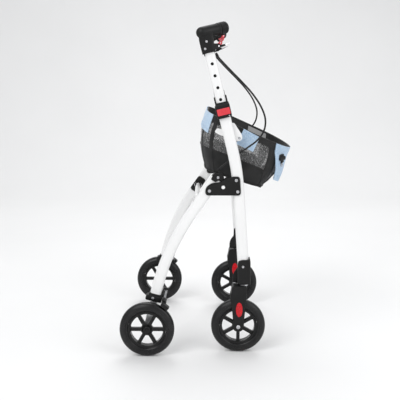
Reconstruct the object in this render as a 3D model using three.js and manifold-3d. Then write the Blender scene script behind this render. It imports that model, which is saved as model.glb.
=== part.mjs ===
// A folding rollator walker. X is forward, Y is left, Z is up, in millimetres.
// The origin is on the floor, below the middle of the walker's outline.
// Each side frame is built once, with y as the distance outward from the middle plane,
// and its left and right groups differ only by a mirror in that plane.
import * as THREE from "three";
import { mergeVertices } from "three/addons/utils/BufferGeometryUtils.js";
import Module from "manifold-3d";

const wasm = await Module();
wasm.setup();

// ---------------------------------------------------------------- driving dimensions
const GAP = 0.3;
const FRAME_Y = 220; // plane of each side frame
const WHEEL_RADIUS = 75;
const TYRE_WIDTH = 27;
const TYRE_INNER_RADIUS = 52.5;
const REAR_AXLE = { x: -164, y: 260, z: WHEEL_RADIUS };
const FRONT_AXLE = { x: 86, y: FRAME_Y, z: WHEEL_RADIUS };
const AXLE_RADIUS = 4;

const TUBE_WIDTH = 31; // flat-oval frame tube, fore and aft
const TUBE_THICKNESS = 18; // and across
const HEIGHT_TUBE_WIDTH = 27;
const HEIGHT_TUBE_THICKNESS = 14;
const HEIGHT_TUBE_WALL = 2;

const POST_LEAN = THREE.MathUtils.degToRad(13.6); // of the post's straight upper part
const POST_FOOT_LEAN = THREE.MathUtils.degToRad(4.1);
const POST_BEND_RADIUS = 660;
const BUTTON_AT = { x: 42, z: 668 }; // where the height button meets the post's axis
const STRAIGHT_BELOW_BUTTON = 109;
const POST_FOOT_Z = 215;

const LEG_TOP = { x: 29, z: 492 };
const LEG_LEAN = THREE.MathUtils.degToRad(35);
const LEG_FOOT_LEAN = THREE.MathUtils.degToRad(14);
const LEG_STRAIGHT = 120.7;
const LEG_BEND_RADIUS = 650;
const LEG_FOOT_Z = 160.5;

const HOLE_PITCH = 31.9;
const HOLE_COUNT = 5;
const HOLE_RADIUS = 3.7;
const BUTTON_V = -2.5; // along the post from BUTTON_AT
const HOUSING_V = 154; // underside of the handle housing
const GRIP_V = 209.5; // axis of the grip
const GRIP_TOE_IN = THREE.MathUtils.degToRad(28);
const BARREL_RADIUS = 15.5;
const BARREL_LENGTH = 44;
const GRIP_RADIUS = 16.5;
const GRIP_END = 68;
const LEVER_PIVOT = { x: 27, v: 166 };
const CATCH_PIVOT = { x: 49, v: 189 };
const HANGER_HALF = 1.7; // half the thickness of the tab that the catch hangs on

const PLATE_THICKNESS = 4;
const BRACE_PIVOT_Y = 195;
const BRACE_DROOP = THREE.MathUtils.degToRad(4);
const BRACE_RADIUS = 8;
const FRONT_BRACE = { x: 30, z: 470 };
const REAR_BRACE = { x: -33, z: 405 };

const STEM_X = 101;
const CABLE_RADIUS = 2.5;
const BAG_WALL = 4;

// ---------------------------------------------------------------- materials
const paint = { color: 0xf2f2f0, roughness: 0.3, metalness: 0.1 };
const blackPlastic = { color: 0x2a2a2c, roughness: 0.5, metalness: 0 };
const redPlastic = { color: 0xd8283a, roughness: 0.4, metalness: 0 };
const rubber = { color: 0x1c1c1d, roughness: 0.8, metalness: 0 };
const steel = { color: 0xc9cacc, roughness: 0.35, metalness: 1 };
const fabric = { color: 0x3a3b3d, roughness: 0.95, metalness: 0 };

// ---------------------------------------------------------------- geometry helpers
function bare(geometry) {
  const copy = geometry.clone();
  copy.deleteAttribute("normal");
  copy.deleteAttribute("uv");
  return mergeVertices(copy, 1e-3);
}

function solid(geometry) {
  const merged = bare(geometry);
  const triVerts = new Uint32Array(merged.index.array);
  const vertProperties = merged.attributes.position.array;
  let made = new wasm.Manifold(new wasm.Mesh({ numProp: 3, vertProperties, triVerts }));
  if (made.volume() < 0) {
    for (let i = 0; i < triVerts.length; i += 3) {
      const second = triVerts[i + 1];
      triVerts[i + 1] = triVerts[i + 2];
      triVerts[i + 2] = second;
    }
    made = new wasm.Manifold(new wasm.Mesh({ numProp: 3, vertProperties, triVerts }));
  }
  return made;
}

function toGeometry(manifold) {
  const mesh = manifold.getMesh();
  const geometry = new THREE.BufferGeometry();
  geometry.setAttribute("position", new THREE.BufferAttribute(mesh.vertProperties, 3));
  geometry.setIndex(new THREE.BufferAttribute(mesh.triVerts, 1));
  geometry.computeVertexNormals();
  return geometry;
}

function join(first, ...others) {
  return toGeometry(others.reduce((sum, next) => sum.add(solid(next)), solid(first)));
}

function cut(body, ...cutters) {
  return toGeometry(cutters.reduce((left, cutter) => left.subtract(solid(cutter)), solid(body)));
}

function box(x0, x1, y0, y1, z0, z1) {
  const geometry = new THREE.BoxGeometry(x1 - x0, y1 - y0, z1 - z0);
  return geometry.translate((x0 + x1) / 2, (y0 + y1) / 2, (z0 + z1) / 2);
}

// A round bar along Y between y0 and y1.
function barY(radius, y0, y1, x = 0, z = 0, segments = 20) {
  const geometry = new THREE.CylinderGeometry(radius, radius, y1 - y0, segments);
  return geometry.translate(x, (y0 + y1) / 2, z);
}

// A round bar along X between x0 and x1.
function barX(radius, x0, x1, y = 0, z = 0, segments = 20) {
  const geometry = new THREE.CylinderGeometry(radius, radius, x1 - x0, segments);
  return geometry.rotateZ(Math.PI / 2).translate((x0 + x1) / 2, y, z);
}

function lathe(points, segments) {
  const profile = points.map(([radius, along]) => new THREE.Vector2(radius, along));
  return new THREE.LatheGeometry(profile, segments);
}

// A flat-oval outline: x across the tube, y along its width.
function flatOval(width, thickness) {
  const radius = thickness / 2;
  const reach = width / 2 - radius;
  const outline = new THREE.Shape();
  outline.absarc(0, reach, radius, 0, Math.PI);
  outline.absarc(0, -reach, radius, Math.PI, 2 * Math.PI);
  return outline;
}

function roundedRectangle(width, height, radius) {
  const w = width / 2 - radius;
  const h = height / 2 - radius;
  const outline = new THREE.Shape();
  outline.absarc(w, h, radius, 0, Math.PI / 2);
  outline.absarc(-w, h, radius, Math.PI / 2, Math.PI);
  outline.absarc(-w, -h, radius, Math.PI, 1.5 * Math.PI);
  outline.absarc(w, -h, radius, 1.5 * Math.PI, 2 * Math.PI);
  return outline;
}

// A closed outline of corners [x, z, radius], each rounded where its radius is given.
function corneredOutline(corners) {
  const outline = new THREE.Shape();
  const count = corners.length;
  corners.forEach(([x, z, radius = 0], i) => {
    const here = new THREE.Vector2(x, z);
    const [px, pz] = corners[(i + count - 1) % count];
    const [nx, nz] = corners[(i + 1) % count];
    const toPrevious = new THREE.Vector2(px, pz).sub(here).normalize();
    const toNext = new THREE.Vector2(nx, nz).sub(here).normalize();
    const start = here.clone().addScaledVector(toPrevious, radius);
    const end = here.clone().addScaledVector(toNext, radius);
    if (i === 0) outline.moveTo(start.x, start.y);
    else outline.lineTo(start.x, start.y);
    if (radius > 0) outline.quadraticCurveTo(x, z, end.x, end.y);
  });
  outline.closePath();
  return outline;
}

// An outline in the X-Z plane, given thickness from y0 to y1.
function slabY(outline, y0, y1, curveSegments = 5) {
  const options = { depth: y1 - y0, bevelEnabled: false, curveSegments };
  const geometry = new THREE.ExtrudeGeometry(outline, options);
  return geometry.rotateX(Math.PI / 2).translate(0, y1, 0);
}

// An outline in the X-Y plane, given height from z0 to z1.
function slabZ(outline, z0, z1, curveSegments = 5) {
  const options = { depth: z1 - z0, bevelEnabled: false, curveSegments };
  return new THREE.ExtrudeGeometry(outline, options).translate(0, 0, z0);
}

// The axis of a tube in the X-Z plane: straight at one lean, one bend, straight at another.
// It runs down from its start, and a lean is measured from the vertical; sign is the way
// that it leans as it goes down, +1 forward and -1 backward.
class BentAxis extends THREE.Curve {
  constructor({ x, z, lean, straight, bendRadius, footLean, footZ, sign, skip = 0 }) {
    super();
    const bend = bendRadius * (lean - footLean);
    const bendDrop = bendRadius * (Math.sin(lean) - Math.sin(footLean));
    const foot = (z - footZ - straight * Math.cos(lean) - bendDrop) / Math.cos(footLean);
    Object.assign(this, { x, z, lean, straight, bendRadius, footLean, sign, skip, bend });
    this.total = straight + bend + foot;
  }

  at(distance) {
    const { x, z, lean, straight, bendRadius, footLean, sign, bend } = this;
    const first = Math.min(distance, straight);
    const turned = Math.min(Math.max(distance - straight, 0), bend) / bendRadius;
    const last = Math.max(distance - straight - bend, 0);
    const now = lean - turned;
    const across =
      first * Math.sin(lean) +
      bendRadius * (Math.cos(now) - Math.cos(lean)) +
      last * Math.sin(footLean);
    const down =
      first * Math.cos(lean) +
      bendRadius * (Math.sin(lean) - Math.sin(now)) +
      last * Math.cos(footLean);
    return new THREE.Vector3(x + sign * across, 0, z - down);
  }

  getPoint(t, target = new THREE.Vector3()) {
    return target.copy(this.at(this.skip + t * (this.total - this.skip)));
  }
}

function tubeAlong(curve, outline, steps, curveSegments = 5) {
  return new THREE.ExtrudeGeometry(outline, { extrudePath: curve, steps, curveSegments });
}

// ---------------------------------------------------------------- wheels
function makeTyre() {
  const half = TYRE_WIDTH / 2;
  const shoulder = [
    [TYRE_INNER_RADIUS, half - 3],
    [TYRE_INNER_RADIUS + 5, half],
    [WHEEL_RADIUS - 8, half - 0.5],
    [WHEEL_RADIUS - 2, half - 5],
    [WHEEL_RADIUS, half - 10],
  ];
  const mirrored = shoulder.map(([radius, along]) => [radius, -along]);
  const profile = [...mirrored, ...shoulder.reverse()];
  return lathe([...profile, profile[0]], 36);
}

const HUB_RADIUS = 15;
const HUB_HALF = 14;
const RIM_OUTER = TYRE_INNER_RADIUS - GAP;
const RIM_INNER = 44.5;
const SPOKE_COUNT = 6;
const SPOKE_WIDTH = 9;

function makeRim() {
  const ring = lathe(
    [
      [RIM_INNER, -9],
      [RIM_OUTER, -10.5],
      [RIM_OUTER, 10.5],
      [RIM_INNER, 9],
      [RIM_INNER, -9],
    ],
    36,
  );
  const hub = barY(HUB_RADIUS, -HUB_HALF, HUB_HALF, 0, 0, 24);
  const spokes = [];
  for (let i = 0; i < SPOKE_COUNT; i += 1) {
    const spoke = box(HUB_RADIUS - 3, RIM_INNER + 3, -6, 6, -SPOKE_WIDTH / 2, SPOKE_WIDTH / 2);
    spokes.push(spoke.rotateY((i * 2 * Math.PI) / SPOKE_COUNT));
  }
  const wheel = join(hub, ring, ...spokes);
  return cut(wheel, barY(AXLE_RADIUS + GAP, -HUB_HALF - 1, HUB_HALF + 1));
}

const FORK_INNER = TYRE_WIDTH / 2 + 2;
const FORK_OUTER = FORK_INNER + 5.5;
const BOLT_HEAD_RADIUS = 7;
const BOLT_HEAD = 3;

function makeFrontAxle() {
  const face = FORK_OUTER + GAP;
  const end = face + BOLT_HEAD;
  const half = [
    [AXLE_RADIUS, face],
    [BOLT_HEAD_RADIUS, face],
    [BOLT_HEAD_RADIUS, end - 1],
    [BOLT_HEAD_RADIUS - 2, end],
    [0, end],
  ];
  const other = half.map(([radius, along]) => [radius, -along]).reverse();
  return lathe([...other, ...half], 20);
}

const STRUT_INNER = 223;
const STRUT_OUTER = 231;
const REAR_HUB_INNER = REAR_AXLE.y - HUB_HALF;
const REAR_HUB_OUTER = REAR_AXLE.y + HUB_HALF;

function makeRearAxle() {
  const profile = [
    [0, STRUT_INNER - GAP - BOLT_HEAD],
    [BOLT_HEAD_RADIUS, STRUT_INNER - GAP - BOLT_HEAD],
    [BOLT_HEAD_RADIUS, STRUT_INNER - GAP],
    [AXLE_RADIUS, STRUT_INNER - GAP],
    [AXLE_RADIUS, STRUT_OUTER + GAP],
    [BOLT_HEAD_RADIUS - 1, STRUT_OUTER + GAP],
    [BOLT_HEAD_RADIUS - 1, REAR_HUB_INNER - GAP],
    [AXLE_RADIUS, REAR_HUB_INNER - GAP],
    [AXLE_RADIUS, REAR_HUB_OUTER + GAP],
    [BOLT_HEAD_RADIUS - 1, REAR_HUB_OUTER + GAP],
    [BOLT_HEAD_RADIUS - 2, REAR_HUB_OUTER + GAP + 2],
    [0, REAR_HUB_OUTER + GAP + 2],
  ];
  return lathe(profile, 20);
}

// ---------------------------------------------------------------- frame tubes
const postAxis = new BentAxis({
  x: BUTTON_AT.x - 12 * Math.sin(POST_LEAN),
  z: BUTTON_AT.z + 12 * Math.cos(POST_LEAN),
  lean: POST_LEAN,
  straight: STRAIGHT_BELOW_BUTTON + 12,
  bendRadius: POST_BEND_RADIUS,
  footLean: POST_FOOT_LEAN,
  footZ: POST_FOOT_Z,
  sign: 1,
});

const LEG_CAP_LENGTH = 8;
const legAxis = new BentAxis({
  x: LEG_TOP.x,
  z: LEG_TOP.z,
  lean: LEG_LEAN,
  straight: LEG_STRAIGHT,
  bendRadius: LEG_BEND_RADIUS,
  footLean: LEG_FOOT_LEAN,
  footZ: LEG_FOOT_Z,
  sign: -1,
  skip: LEG_CAP_LENGTH,
});

// The outer post is hollow as far down as the height tube reaches.
function makePost() {
  const tube = tubeAlong(postAxis, flatOval(TUBE_WIDTH, TUBE_THICKNESS), 14, 4);
  const bore = slabZ(
    flatOval(HEIGHT_TUBE_WIDTH + 1, HEIGHT_TUBE_THICKNESS + 1),
    -STRAIGHT_BELOW_BUTTON - 12,
    20,
  );
  bore.rotateZ(Math.PI / 2).rotateY(-POST_LEAN).translate(BUTTON_AT.x, 0, BUTTON_AT.z);
  const pinHole = barY(HOLE_RADIUS, 0, TUBE_THICKNESS, 0, BUTTON_V, 12);
  pinHole.rotateY(-POST_LEAN).translate(BUTTON_AT.x, 0, BUTTON_AT.z);
  return cut(tube, bore, pinHole);
}

function makeLeg() {
  return tubeAlong(legAxis, flatOval(TUBE_WIDTH, TUBE_THICKNESS), 14, 4);
}

// The black cap that closes the leg's upper end, laps over its outer face and takes the
// end of the brake cable in a socket on its inner side.
function makeLegCap() {
  const half = TUBE_WIDTH / 2;
  const along = { x: -Math.sin(LEG_LEAN), z: -Math.cos(LEG_LEAN) };
  const across = { x: Math.cos(LEG_LEAN), z: -Math.sin(LEG_LEAN) };
  const reach = LEG_CAP_LENGTH - GAP;
  const centre = { x: LEG_TOP.x + reach * along.x, z: LEG_TOP.z + reach * along.z };
  const back = [centre.x - half * across.x, centre.z - half * across.z];
  const front = [centre.x + half * across.x, centre.z + half * across.z];
  const top = [
    [17, 499.5, 6],
    [33, 503, 8],
    [44, 494, 6],
  ];
  const plug = corneredOutline([back, ...top, [45, 482], front]);
  const neck = corneredOutline([[17, 493], ...top, [45, 488], [30, 487]]);
  const face = corneredOutline([[9.5, 483.5, 2], ...top, [45.5, 487.5], [22, 476.5]]);
  const inner = -TUBE_THICKNESS / 2;
  const outer = TUBE_THICKNESS / 2;
  const cableSocket = box(17, 29, inner - 11.5, inner + 0.5, 493, 499.5);
  return join(
    slabY(plug, inner, outer, 4),
    slabY(neck, outer - 1, outer + PLATE_THICKNESS, 4),
    slabY(face, outer + GAP, outer + PLATE_THICKNESS, 4),
    cableSocket,
  );
}

// ---------------------------------------------------------------- joint plates and brace lugs
const plateOutline = corneredOutline([
  [-6, 440.5, 12],
  [91, 440.5, 10],
  [87, 492, 10],
  [52, 488.5, 4],
  [43, 481, 3],
  [-5, 464.5, 10],
]);

// Two ears, square to X, that hold a brace's end at the pivot. y is measured from FRAME_Y.
const LUG_TAB = 5.5;
const LUG_SLOT = LUG_TAB + GAP;
const LUG_EAR = 4;
const LUG_RADIUS = 8.5;

function lugEars({ x, z }, faceY) {
  const pivotY = BRACE_PIVOT_Y - FRAME_Y;
  return [-1, 1].map((sign) => {
    const inner = sign * LUG_SLOT;
    const outer = sign * (LUG_SLOT + LUG_EAR);
    const x0 = x + Math.min(inner, outer);
    const x1 = x + Math.max(inner, outer);
    const arm = box(x0, x1, pivotY, faceY, z - LUG_RADIUS, z + LUG_RADIUS);
    return join(arm, barX(LUG_RADIUS, x0, x1, pivotY, z, 16));
  });
}

function makeOuterPlate() {
  const face = TUBE_THICKNESS / 2 + GAP;
  return slabY(plateOutline, face, face + PLATE_THICKNESS, 4);
}

function makeInnerPlate() {
  const face = -TUBE_THICKNESS / 2 - GAP;
  const plate = slabY(plateOutline, face - PLATE_THICKNESS, face, 4);
  return join(plate, ...lugEars(FRONT_BRACE, face - 1));
}

function makeRearLug() {
  const face = -TUBE_THICKNESS / 2 - GAP;
  const outline = roundedRectangle(TUBE_WIDTH - 3, 52, 8);
  const base = slabY(outline, face - PLATE_THICKNESS, face, 4);
  base.rotateY(LEG_LEAN).translate(REAR_BRACE.x, 0, REAR_BRACE.z);
  return join(base, ...lugEars(REAR_BRACE, face - 1));
}

// ---------------------------------------------------------------- cross braces
// A link from its frame pivot at the origin along +X to the knee, turning about Y here.
const BRACE_LENGTH = BRACE_PIVOT_Y / Math.cos(BRACE_DROOP);
const KNEE_FORK_START = 20;
const KNEE_TUBE_START = 28;

function makeLink(forked) {
  const knee = BRACE_LENGTH;
  const tube = barX(BRACE_RADIUS, 22, knee - KNEE_TUBE_START, 0, 0, 16);
  const endTab = box(0, 26, -LUG_TAB, LUG_TAB, -5.5, 5.5);
  const endEye = barY(7, -LUG_TAB, LUG_TAB, 0, 0, 16);
  const pieces = [tube, endTab, endEye];
  if (forked) {
    const wide = LUG_SLOT + LUG_EAR;
    pieces.push(box(knee - 30, knee - KNEE_FORK_START, -wide, wide, -6.5, 6.5));
    for (const sign of [-1, 1]) {
      const y0 = Math.min(sign * LUG_SLOT, sign * wide);
      const y1 = Math.max(sign * LUG_SLOT, sign * wide);
      pieces.push(box(knee - 26, knee, y0, y1, -6.5, 6.5), barY(7, y0, y1, knee, 0, 16));
    }
  } else {
    pieces.push(box(knee - 32, knee, -LUG_TAB, LUG_TAB, -5.5, 5.5));
    pieces.push(barY(7, -LUG_TAB, LUG_TAB, knee, 0, 16));
  }
  return join(...pieces);
}

// ---------------------------------------------------------------- upper column
// These pieces are in the column's own frame: x forward across the tube, y outward, z up it.
function makeCollar() {
  const shell = roundedRectangle(40, 28.5, 5);
  const body = slabZ(shell, -20, 17).translate(0, 1.75, 0);
  const tongues = [-1, 1].map((sign) => {
    const near = sign * (HEIGHT_TUBE_WIDTH / 2 + GAP);
    const far = sign * (HEIGHT_TUBE_WIDTH / 2 + 3.5);
    return box(Math.min(near, far), Math.max(near, far), -4, 4, 12, 39);
  });
  const postBore = slabZ(flatOval(TUBE_WIDTH + 0.6, TUBE_THICKNESS + 0.6), -21, 12.4);
  const tubeBore = slabZ(flatOval(HEIGHT_TUBE_WIDTH + 0.6, HEIGHT_TUBE_THICKNESS + 0.6), 5, 40);
  const window = box(-17.2, 18.2, 9, 20, -12.4, 6.4);
  return cut(
    join(body, ...tongues),
    postBore.rotateZ(Math.PI / 2),
    tubeBore.rotateZ(Math.PI / 2),
    window,
  );
}

function makeHeightButton() {
  const face = roundedRectangle(34.6, 18, 1.5);
  return slabY(face, 13, 17.4, 2).translate(0.5, 0, -3);
}

function makeHeightTube() {
  const wall = flatOval(HEIGHT_TUBE_WIDTH, HEIGHT_TUBE_THICKNESS);
  wall.holes.push(
    flatOval(HEIGHT_TUBE_WIDTH - 2 * HEIGHT_TUBE_WALL, HEIGHT_TUBE_THICKNESS - 2 * HEIGHT_TUBE_WALL),
  );
  const tube = slabZ(wall, BUTTON_V - 20, 200).rotateZ(Math.PI / 2);
  const holes = [];
  for (let i = 0; i < HOLE_COUNT; i += 1) {
    holes.push(barY(HOLE_RADIUS, 0, HEIGHT_TUBE_THICKNESS, 0, BUTTON_V + i * HOLE_PITCH, 12));
  }
  return cut(tube, ...holes);
}

// Turns a piece from the grip's frame, x along the grip, into the column's frame.
function alongGrip(geometry) {
  return geometry.rotateZ(-GRIP_TOE_IN);
}

function makeHousing() {
  const sleeve = slabZ(roundedRectangle(35.7, 25, 8), HOUSING_V, GRIP_V - 4).translate(-1.5, 0, 0);
  const barrelProfile = [[0, -24]];
  for (let i = 1; i <= 5; i += 1) {
    const angle = (i * Math.PI) / 10;
    barrelProfile.push([
      BARREL_RADIUS * Math.sin(angle),
      -7.5 - BARREL_RADIUS * Math.cos(angle),
    ]);
  }
  barrelProfile.push([BARREL_RADIUS, BARREL_LENGTH], [0, BARREL_LENGTH]);
  const barrel = lathe(barrelProfile, 24).rotateZ(-Math.PI / 2).translate(0, 0, GRIP_V);
  const ears = [-1, 1].map((sign) => {
    const y0 = Math.min(sign * 4.4, sign * 8);
    const y1 = Math.max(sign * 4.4, sign * 8);
    const { x, v } = LEVER_PIVOT;
    return join(box(10, x, y0, y1, v - 6.5, v + 6.5), barY(6.5, y0, y1, x, v, 14));
  });
  const hanger = join(
    box(37, 43.5, -HANGER_HALF, HANGER_HALF, CATCH_PIVOT.v - 2, GRIP_V - 13),
    box(37, CATCH_PIVOT.x + 3, -HANGER_HALF, HANGER_HALF, CATCH_PIVOT.v - 2, CATCH_PIVOT.v + 3.6),
  );
  const bore = slabZ(flatOval(HEIGHT_TUBE_WIDTH + 0.6, HEIGHT_TUBE_THICKNESS + 0.6), 150, 200.5);
  return cut(
    join(sleeve, ...[barrel, ears[0], ears[1], hanger].map(alongGrip)),
    bore.rotateZ(Math.PI / 2),
  );
}

function makeGrip() {
  const start = BARREL_LENGTH + 0.5;
  const profile = [
    [0, start],
    [GRIP_RADIUS - 1.5, start],
    [GRIP_RADIUS, start + 2],
  ];
  const roundAt = GRIP_END - 9;
  for (let i = 0; i <= 4; i += 1) {
    const angle = (i * Math.PI) / 8;
    profile.push([
      GRIP_RADIUS - 9 + 9 * Math.cos(angle),
      roundAt + 9 * Math.sin(angle),
    ]);
  }
  profile.push([0, GRIP_END]);
  return alongGrip(lathe(profile, 24).rotateZ(-Math.PI / 2).translate(0, 0, GRIP_V));
}

function makeLever() {
  const { x, v } = LEVER_PIVOT;
  const blade = corneredOutline([
    [x + 8, v - 3.4],
    [50, v - 2.8, 4],
    [65, v + 0.4, 1.2],
    [65, v + 3.2, 1.2],
    [50, v + 1.6, 4],
    [x + 8, v + 2.6],
  ]);
  const neck = box(x, x + 12, -4, 4, v - 3.2, v + 3);
  return alongGrip(join(barY(5.2, -4, 4, x, v, 14), neck, slabY(blade, -5.5, 5.5, 3)));
}

function makeCatch() {
  const { x, v } = CATCH_PIVOT;
  const outline = corneredOutline([
    [x - 4.5, v + 2.2, 1],
    [x - 4, v - 4],
    [x - 12, v - 6.5, 1],
    [x - 11, v - 9.5, 1],
    [x - 4.5, v - 9],
    [x - 3, v - 13, 1],
    [x, v - 12.5, 1],
    [x + 1, v - 6],
    [x + 6, v + 2.2, 1],
  ]);
  const slot = box(x - 14, x + 8, -HANGER_HALF - GAP, HANGER_HALF + GAP, v - 5, v + 4);
  return alongGrip(cut(slabY(outline, -5, 5, 2), slot));
}

// ---------------------------------------------------------------- brake at the leg's foot
// In the ankle's frame: origin on the leg's axis, z up the leg, x forward across it.
const ANKLE_Z = 152;
const ankleDrop = ANKLE_Z - REAR_AXLE.z;
const ANKLE = { x: REAR_AXLE.x + ankleDrop * Math.tan(LEG_FOOT_LEAN), z: ANKLE_Z };
const ANKLE_TO_AXLE = ankleDrop / Math.cos(LEG_FOOT_LEAN);
const BRAKE_PIVOT = { x: 22, z: 2 };

function makeBrakeBracket() {
  const outline = corneredOutline([
    [-25, -8, 4],
    [20, -8, 2],
    [20, 7.5, 2],
    [-25, 7.5, 4],
  ]);
  const block = slabY(outline, -12.5, 13, 4);
  const post = box(16.2, 20, -5, 6, -2, 36);
  const hook = box(16.2, 31, -3.5, 4.5, 31, 36);
  return join(block, post, hook);
}

function makeBrakeArm() {
  const { x, z } = BRAKE_PIVOT;
  const outline = corneredOutline([
    [x - 1.4, z - 6, 1],
    [x + 12, z - 6, 3],
    [x + 12, z + 4.5, 3],
    [x - 1.4, z + 4.5, 1],
  ]);
  const arm = slabY(outline, -4, 30, 3);
  const padReach = WHEEL_RADIUS + 2.5;
  const padShape = new THREE.Shape();
  const padFrom = THREE.MathUtils.degToRad(59);
  const padTo = THREE.MathUtils.degToRad(75);
  padShape.absarc(0, 0, padReach, padFrom, padTo, false);
  padShape.absarc(0, 0, padReach + 9, padTo, padFrom, true);
  padShape.closePath();
  const pad = slabY(padShape, 29, 51, 4).translate(0, 0, -ANKLE_TO_AXLE);
  return join(arm, pad);
}

function makeBrakeSpring() {
  const bottom = BRAKE_PIVOT.z + 4.5 + GAP;
  return barY(3.5, 0, 31 - GAP - bottom, 0, 0, 12)
    .rotateX(Math.PI / 2)
    .translate(BRAKE_PIVOT.x + 5, 0.5, bottom);
}

function makeStrut() {
  const centreY = (STRUT_INNER + STRUT_OUTER) / 2 - FRAME_Y;
  const half = (STRUT_OUTER - STRUT_INNER) / 2;
  const bar = box(-10, 10, centreY - half, centreY + half, -ANKLE_TO_AXLE, -8 - GAP);
  const eye = barY(11, centreY - half, centreY + half, 0, -ANKLE_TO_AXLE, 20);
  const bore = barY(AXLE_RADIUS + GAP, centreY - half - 1, centreY + half + 1, 0, -ANKLE_TO_AXLE);
  return cut(join(bar, eye), bore);
}

// ---------------------------------------------------------------- caster
const SEAM_Z = 193;
const STEM_RADIUS = 5.5;

function makeCasterHousing() {
  const outline = corneredOutline([
    [84, SEAM_Z, 2],
    [119, SEAM_Z, 2],
    [119, 262],
    [115.5, 268, 2],
    [112, 262.5, 2],
    [84, 262, 14],
  ]);
  const fin = corneredOutline([
    [72, SEAM_Z, 2],
    [94, SEAM_Z],
    [94, 257, 3],
    [87, 257, 2],
    [80, 217],
  ]);
  const shell = join(slabY(outline, -15, 15, 4), slabY(fin, -15, -10, 3));
  const socketAxis = new THREE.LineCurve3(
    postAxis.at(postAxis.total - 60),
    postAxis.at(postAxis.total + 2),
  );
  const socket = tubeAlong(socketAxis, flatOval(TUBE_WIDTH + 0.8, TUBE_THICKNESS + 0.8), 1);
  const stemBore = new THREE.CylinderGeometry(STEM_RADIUS + GAP, STEM_RADIUS + GAP, 20, 20);
  stemBore.rotateX(Math.PI / 2).translate(STEM_X, 0, SEAM_Z + 7);
  return cut(shell, socket, stemBore);
}

// The fork's crown stands over the wheel, and its two arms reach down to the axle.
const CROWN_TOP = SEAM_Z - 2.5;
const CROWN_BOTTOM = 2 * WHEEL_RADIUS + 3.5;

function makeFork() {
  const { x } = FRONT_AXLE;
  const outline = corneredOutline([
    [x - 18, CROWN_TOP, 5],
    [x + 24, CROWN_TOP, 5],
    [x + 21, 150, 12],
    [x + 15.5, 100, 12],
    [x + 13, 60, 12],
    [x - 13, 60, 12],
    [x - 14.5, 110, 12],
    [x - 24, 155, 12],
  ]);
  const body = slabY(outline, -FORK_OUTER, FORK_OUTER, 5);
  const slot = box(x - 40, x + 40, -FORK_INNER, FORK_INNER, 40, CROWN_BOTTOM);
  const bore = barY(AXLE_RADIUS + GAP, -30, 30, x, FRONT_AXLE.z);
  const washer = new THREE.CylinderGeometry(12, 12, 3, 20);
  washer.rotateX(Math.PI / 2).translate(STEM_X, 0, CROWN_TOP + 0.7);
  const stem = new THREE.CylinderGeometry(STEM_RADIUS, STEM_RADIUS, 20, 20);
  stem.rotateX(Math.PI / 2).translate(STEM_X, 0, CROWN_TOP + 9);
  const forked = cut(body, slot, bore);
  return join(forked, washer, stem);
}

// ---------------------------------------------------------------- brake cable and bag
// The cable bows forward from the housing, passes inside the post and ends at the leg's cap.
const cableRoute = [
  [21, 216, 817],
  [34, 215, 801],
  [63, 214, 771],
  [92, 213, 742],
  [120, 212, 711],
  [143, 210, 677],
  [155, 208, 643],
  [151, 206, 611],
  [133, 205, 586],
  [108, 205, 567],
  [82, 204.5, 549],
  [55, 204, 528.5],
  [35, 204, 512.5],
  [26, 204.5, 503],
];

function makeCable() {
  const points = cableRoute.map(([x, y, z]) => new THREE.Vector3(x, y - FRAME_Y, z));
  const curve = new THREE.CatmullRomCurve3(points, false, "centripetal");
  const section = new THREE.Shape();
  section.absarc(0, 0, CABLE_RADIUS, 0, 2 * Math.PI);
  return tubeAlong(curve, section, 34, 4);
}

function makeBagBracket() {
  const outline = corneredOutline([
    [19, 610, 4],
    [34, 601, 3],
    [72, 592, 4],
    [80, 584, 4],
    [93, 588, 5],
    [94, 600, 4],
    [72, 634, 4],
    [64, 634, 3],
    [58, 612, 4],
    [26, 620, 4],
  ]);
  const face = -TUBE_THICKNESS / 2 - GAP;
  const plate = slabY(outline, face - PLATE_THICKNESS, face, 3);
  return cut(plate, barY(PEG_RADIUS + GAP, -20, 0, BAG_PEG.x, BAG_PEG.z, 12));
}

// The bag is an open pot. Its rim slopes down to the front and bows forward in the middle.
const BAG_FRONT = 239;
const BAG_CORNER = 200;
const BAG_RIM_HALF_WIDTH = 184;
const BAG_FLOOR_HALF_WIDTH = 150;
const BAG_SIDES = 40;
const BAG_PEG = { x: 86, z: 593 };
const PEG_RADIUS = 3;
const PEG_FROM = 178;
const PEG_TO = 212.5;

// A point of a rounded square with sides two long, a share of the way round it.
function roundTheSquare(share) {
  const side = Math.floor(share * 4);
  const along = 2 * (share * 4 - side) - 1;
  const [sx, sy] = [[1, -along], [-along, -1], [-1, along], [along, 1]][side];
  const size = (Math.abs(sx) ** 5 + Math.abs(sy) ** 5) ** (1 / 5);
  return [sx / size, sy / size];
}

function bagPoint(reach, share, height) {
  const [px, py] = roundTheSquare(share);
  const belly = Math.sin(Math.PI * Math.min(height, 1));
  const back = THREE.MathUtils.lerp(-8, -1, height) - 15 * belly;
  const corner = THREE.MathUtils.lerp(153, BAG_CORNER, 1 - (1 - height) ** 2.5);
  const bow = THREE.MathUtils.lerp(5, BAG_FRONT - BAG_CORNER, height ** 1.5) * (1 - py * py);
  const front = corner + (px > 0 ? bow : 0);
  const halfWidth = THREE.MathUtils.lerp(BAG_FLOOR_HALF_WIDTH, BAG_RIM_HALF_WIDTH, height ** 0.6);
  const middle = (back + corner) / 2;
  const x = middle + reach * px * (px > 0 ? front - middle : middle - back);
  const y = reach * py * halfWidth;
  const floorZ = 497 - 0.323 * x;
  const rimZ = 658.7 - 0.45 * x;
  return new THREE.Vector3(x, y, THREE.MathUtils.lerp(floorZ, rimZ, height));
}

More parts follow.
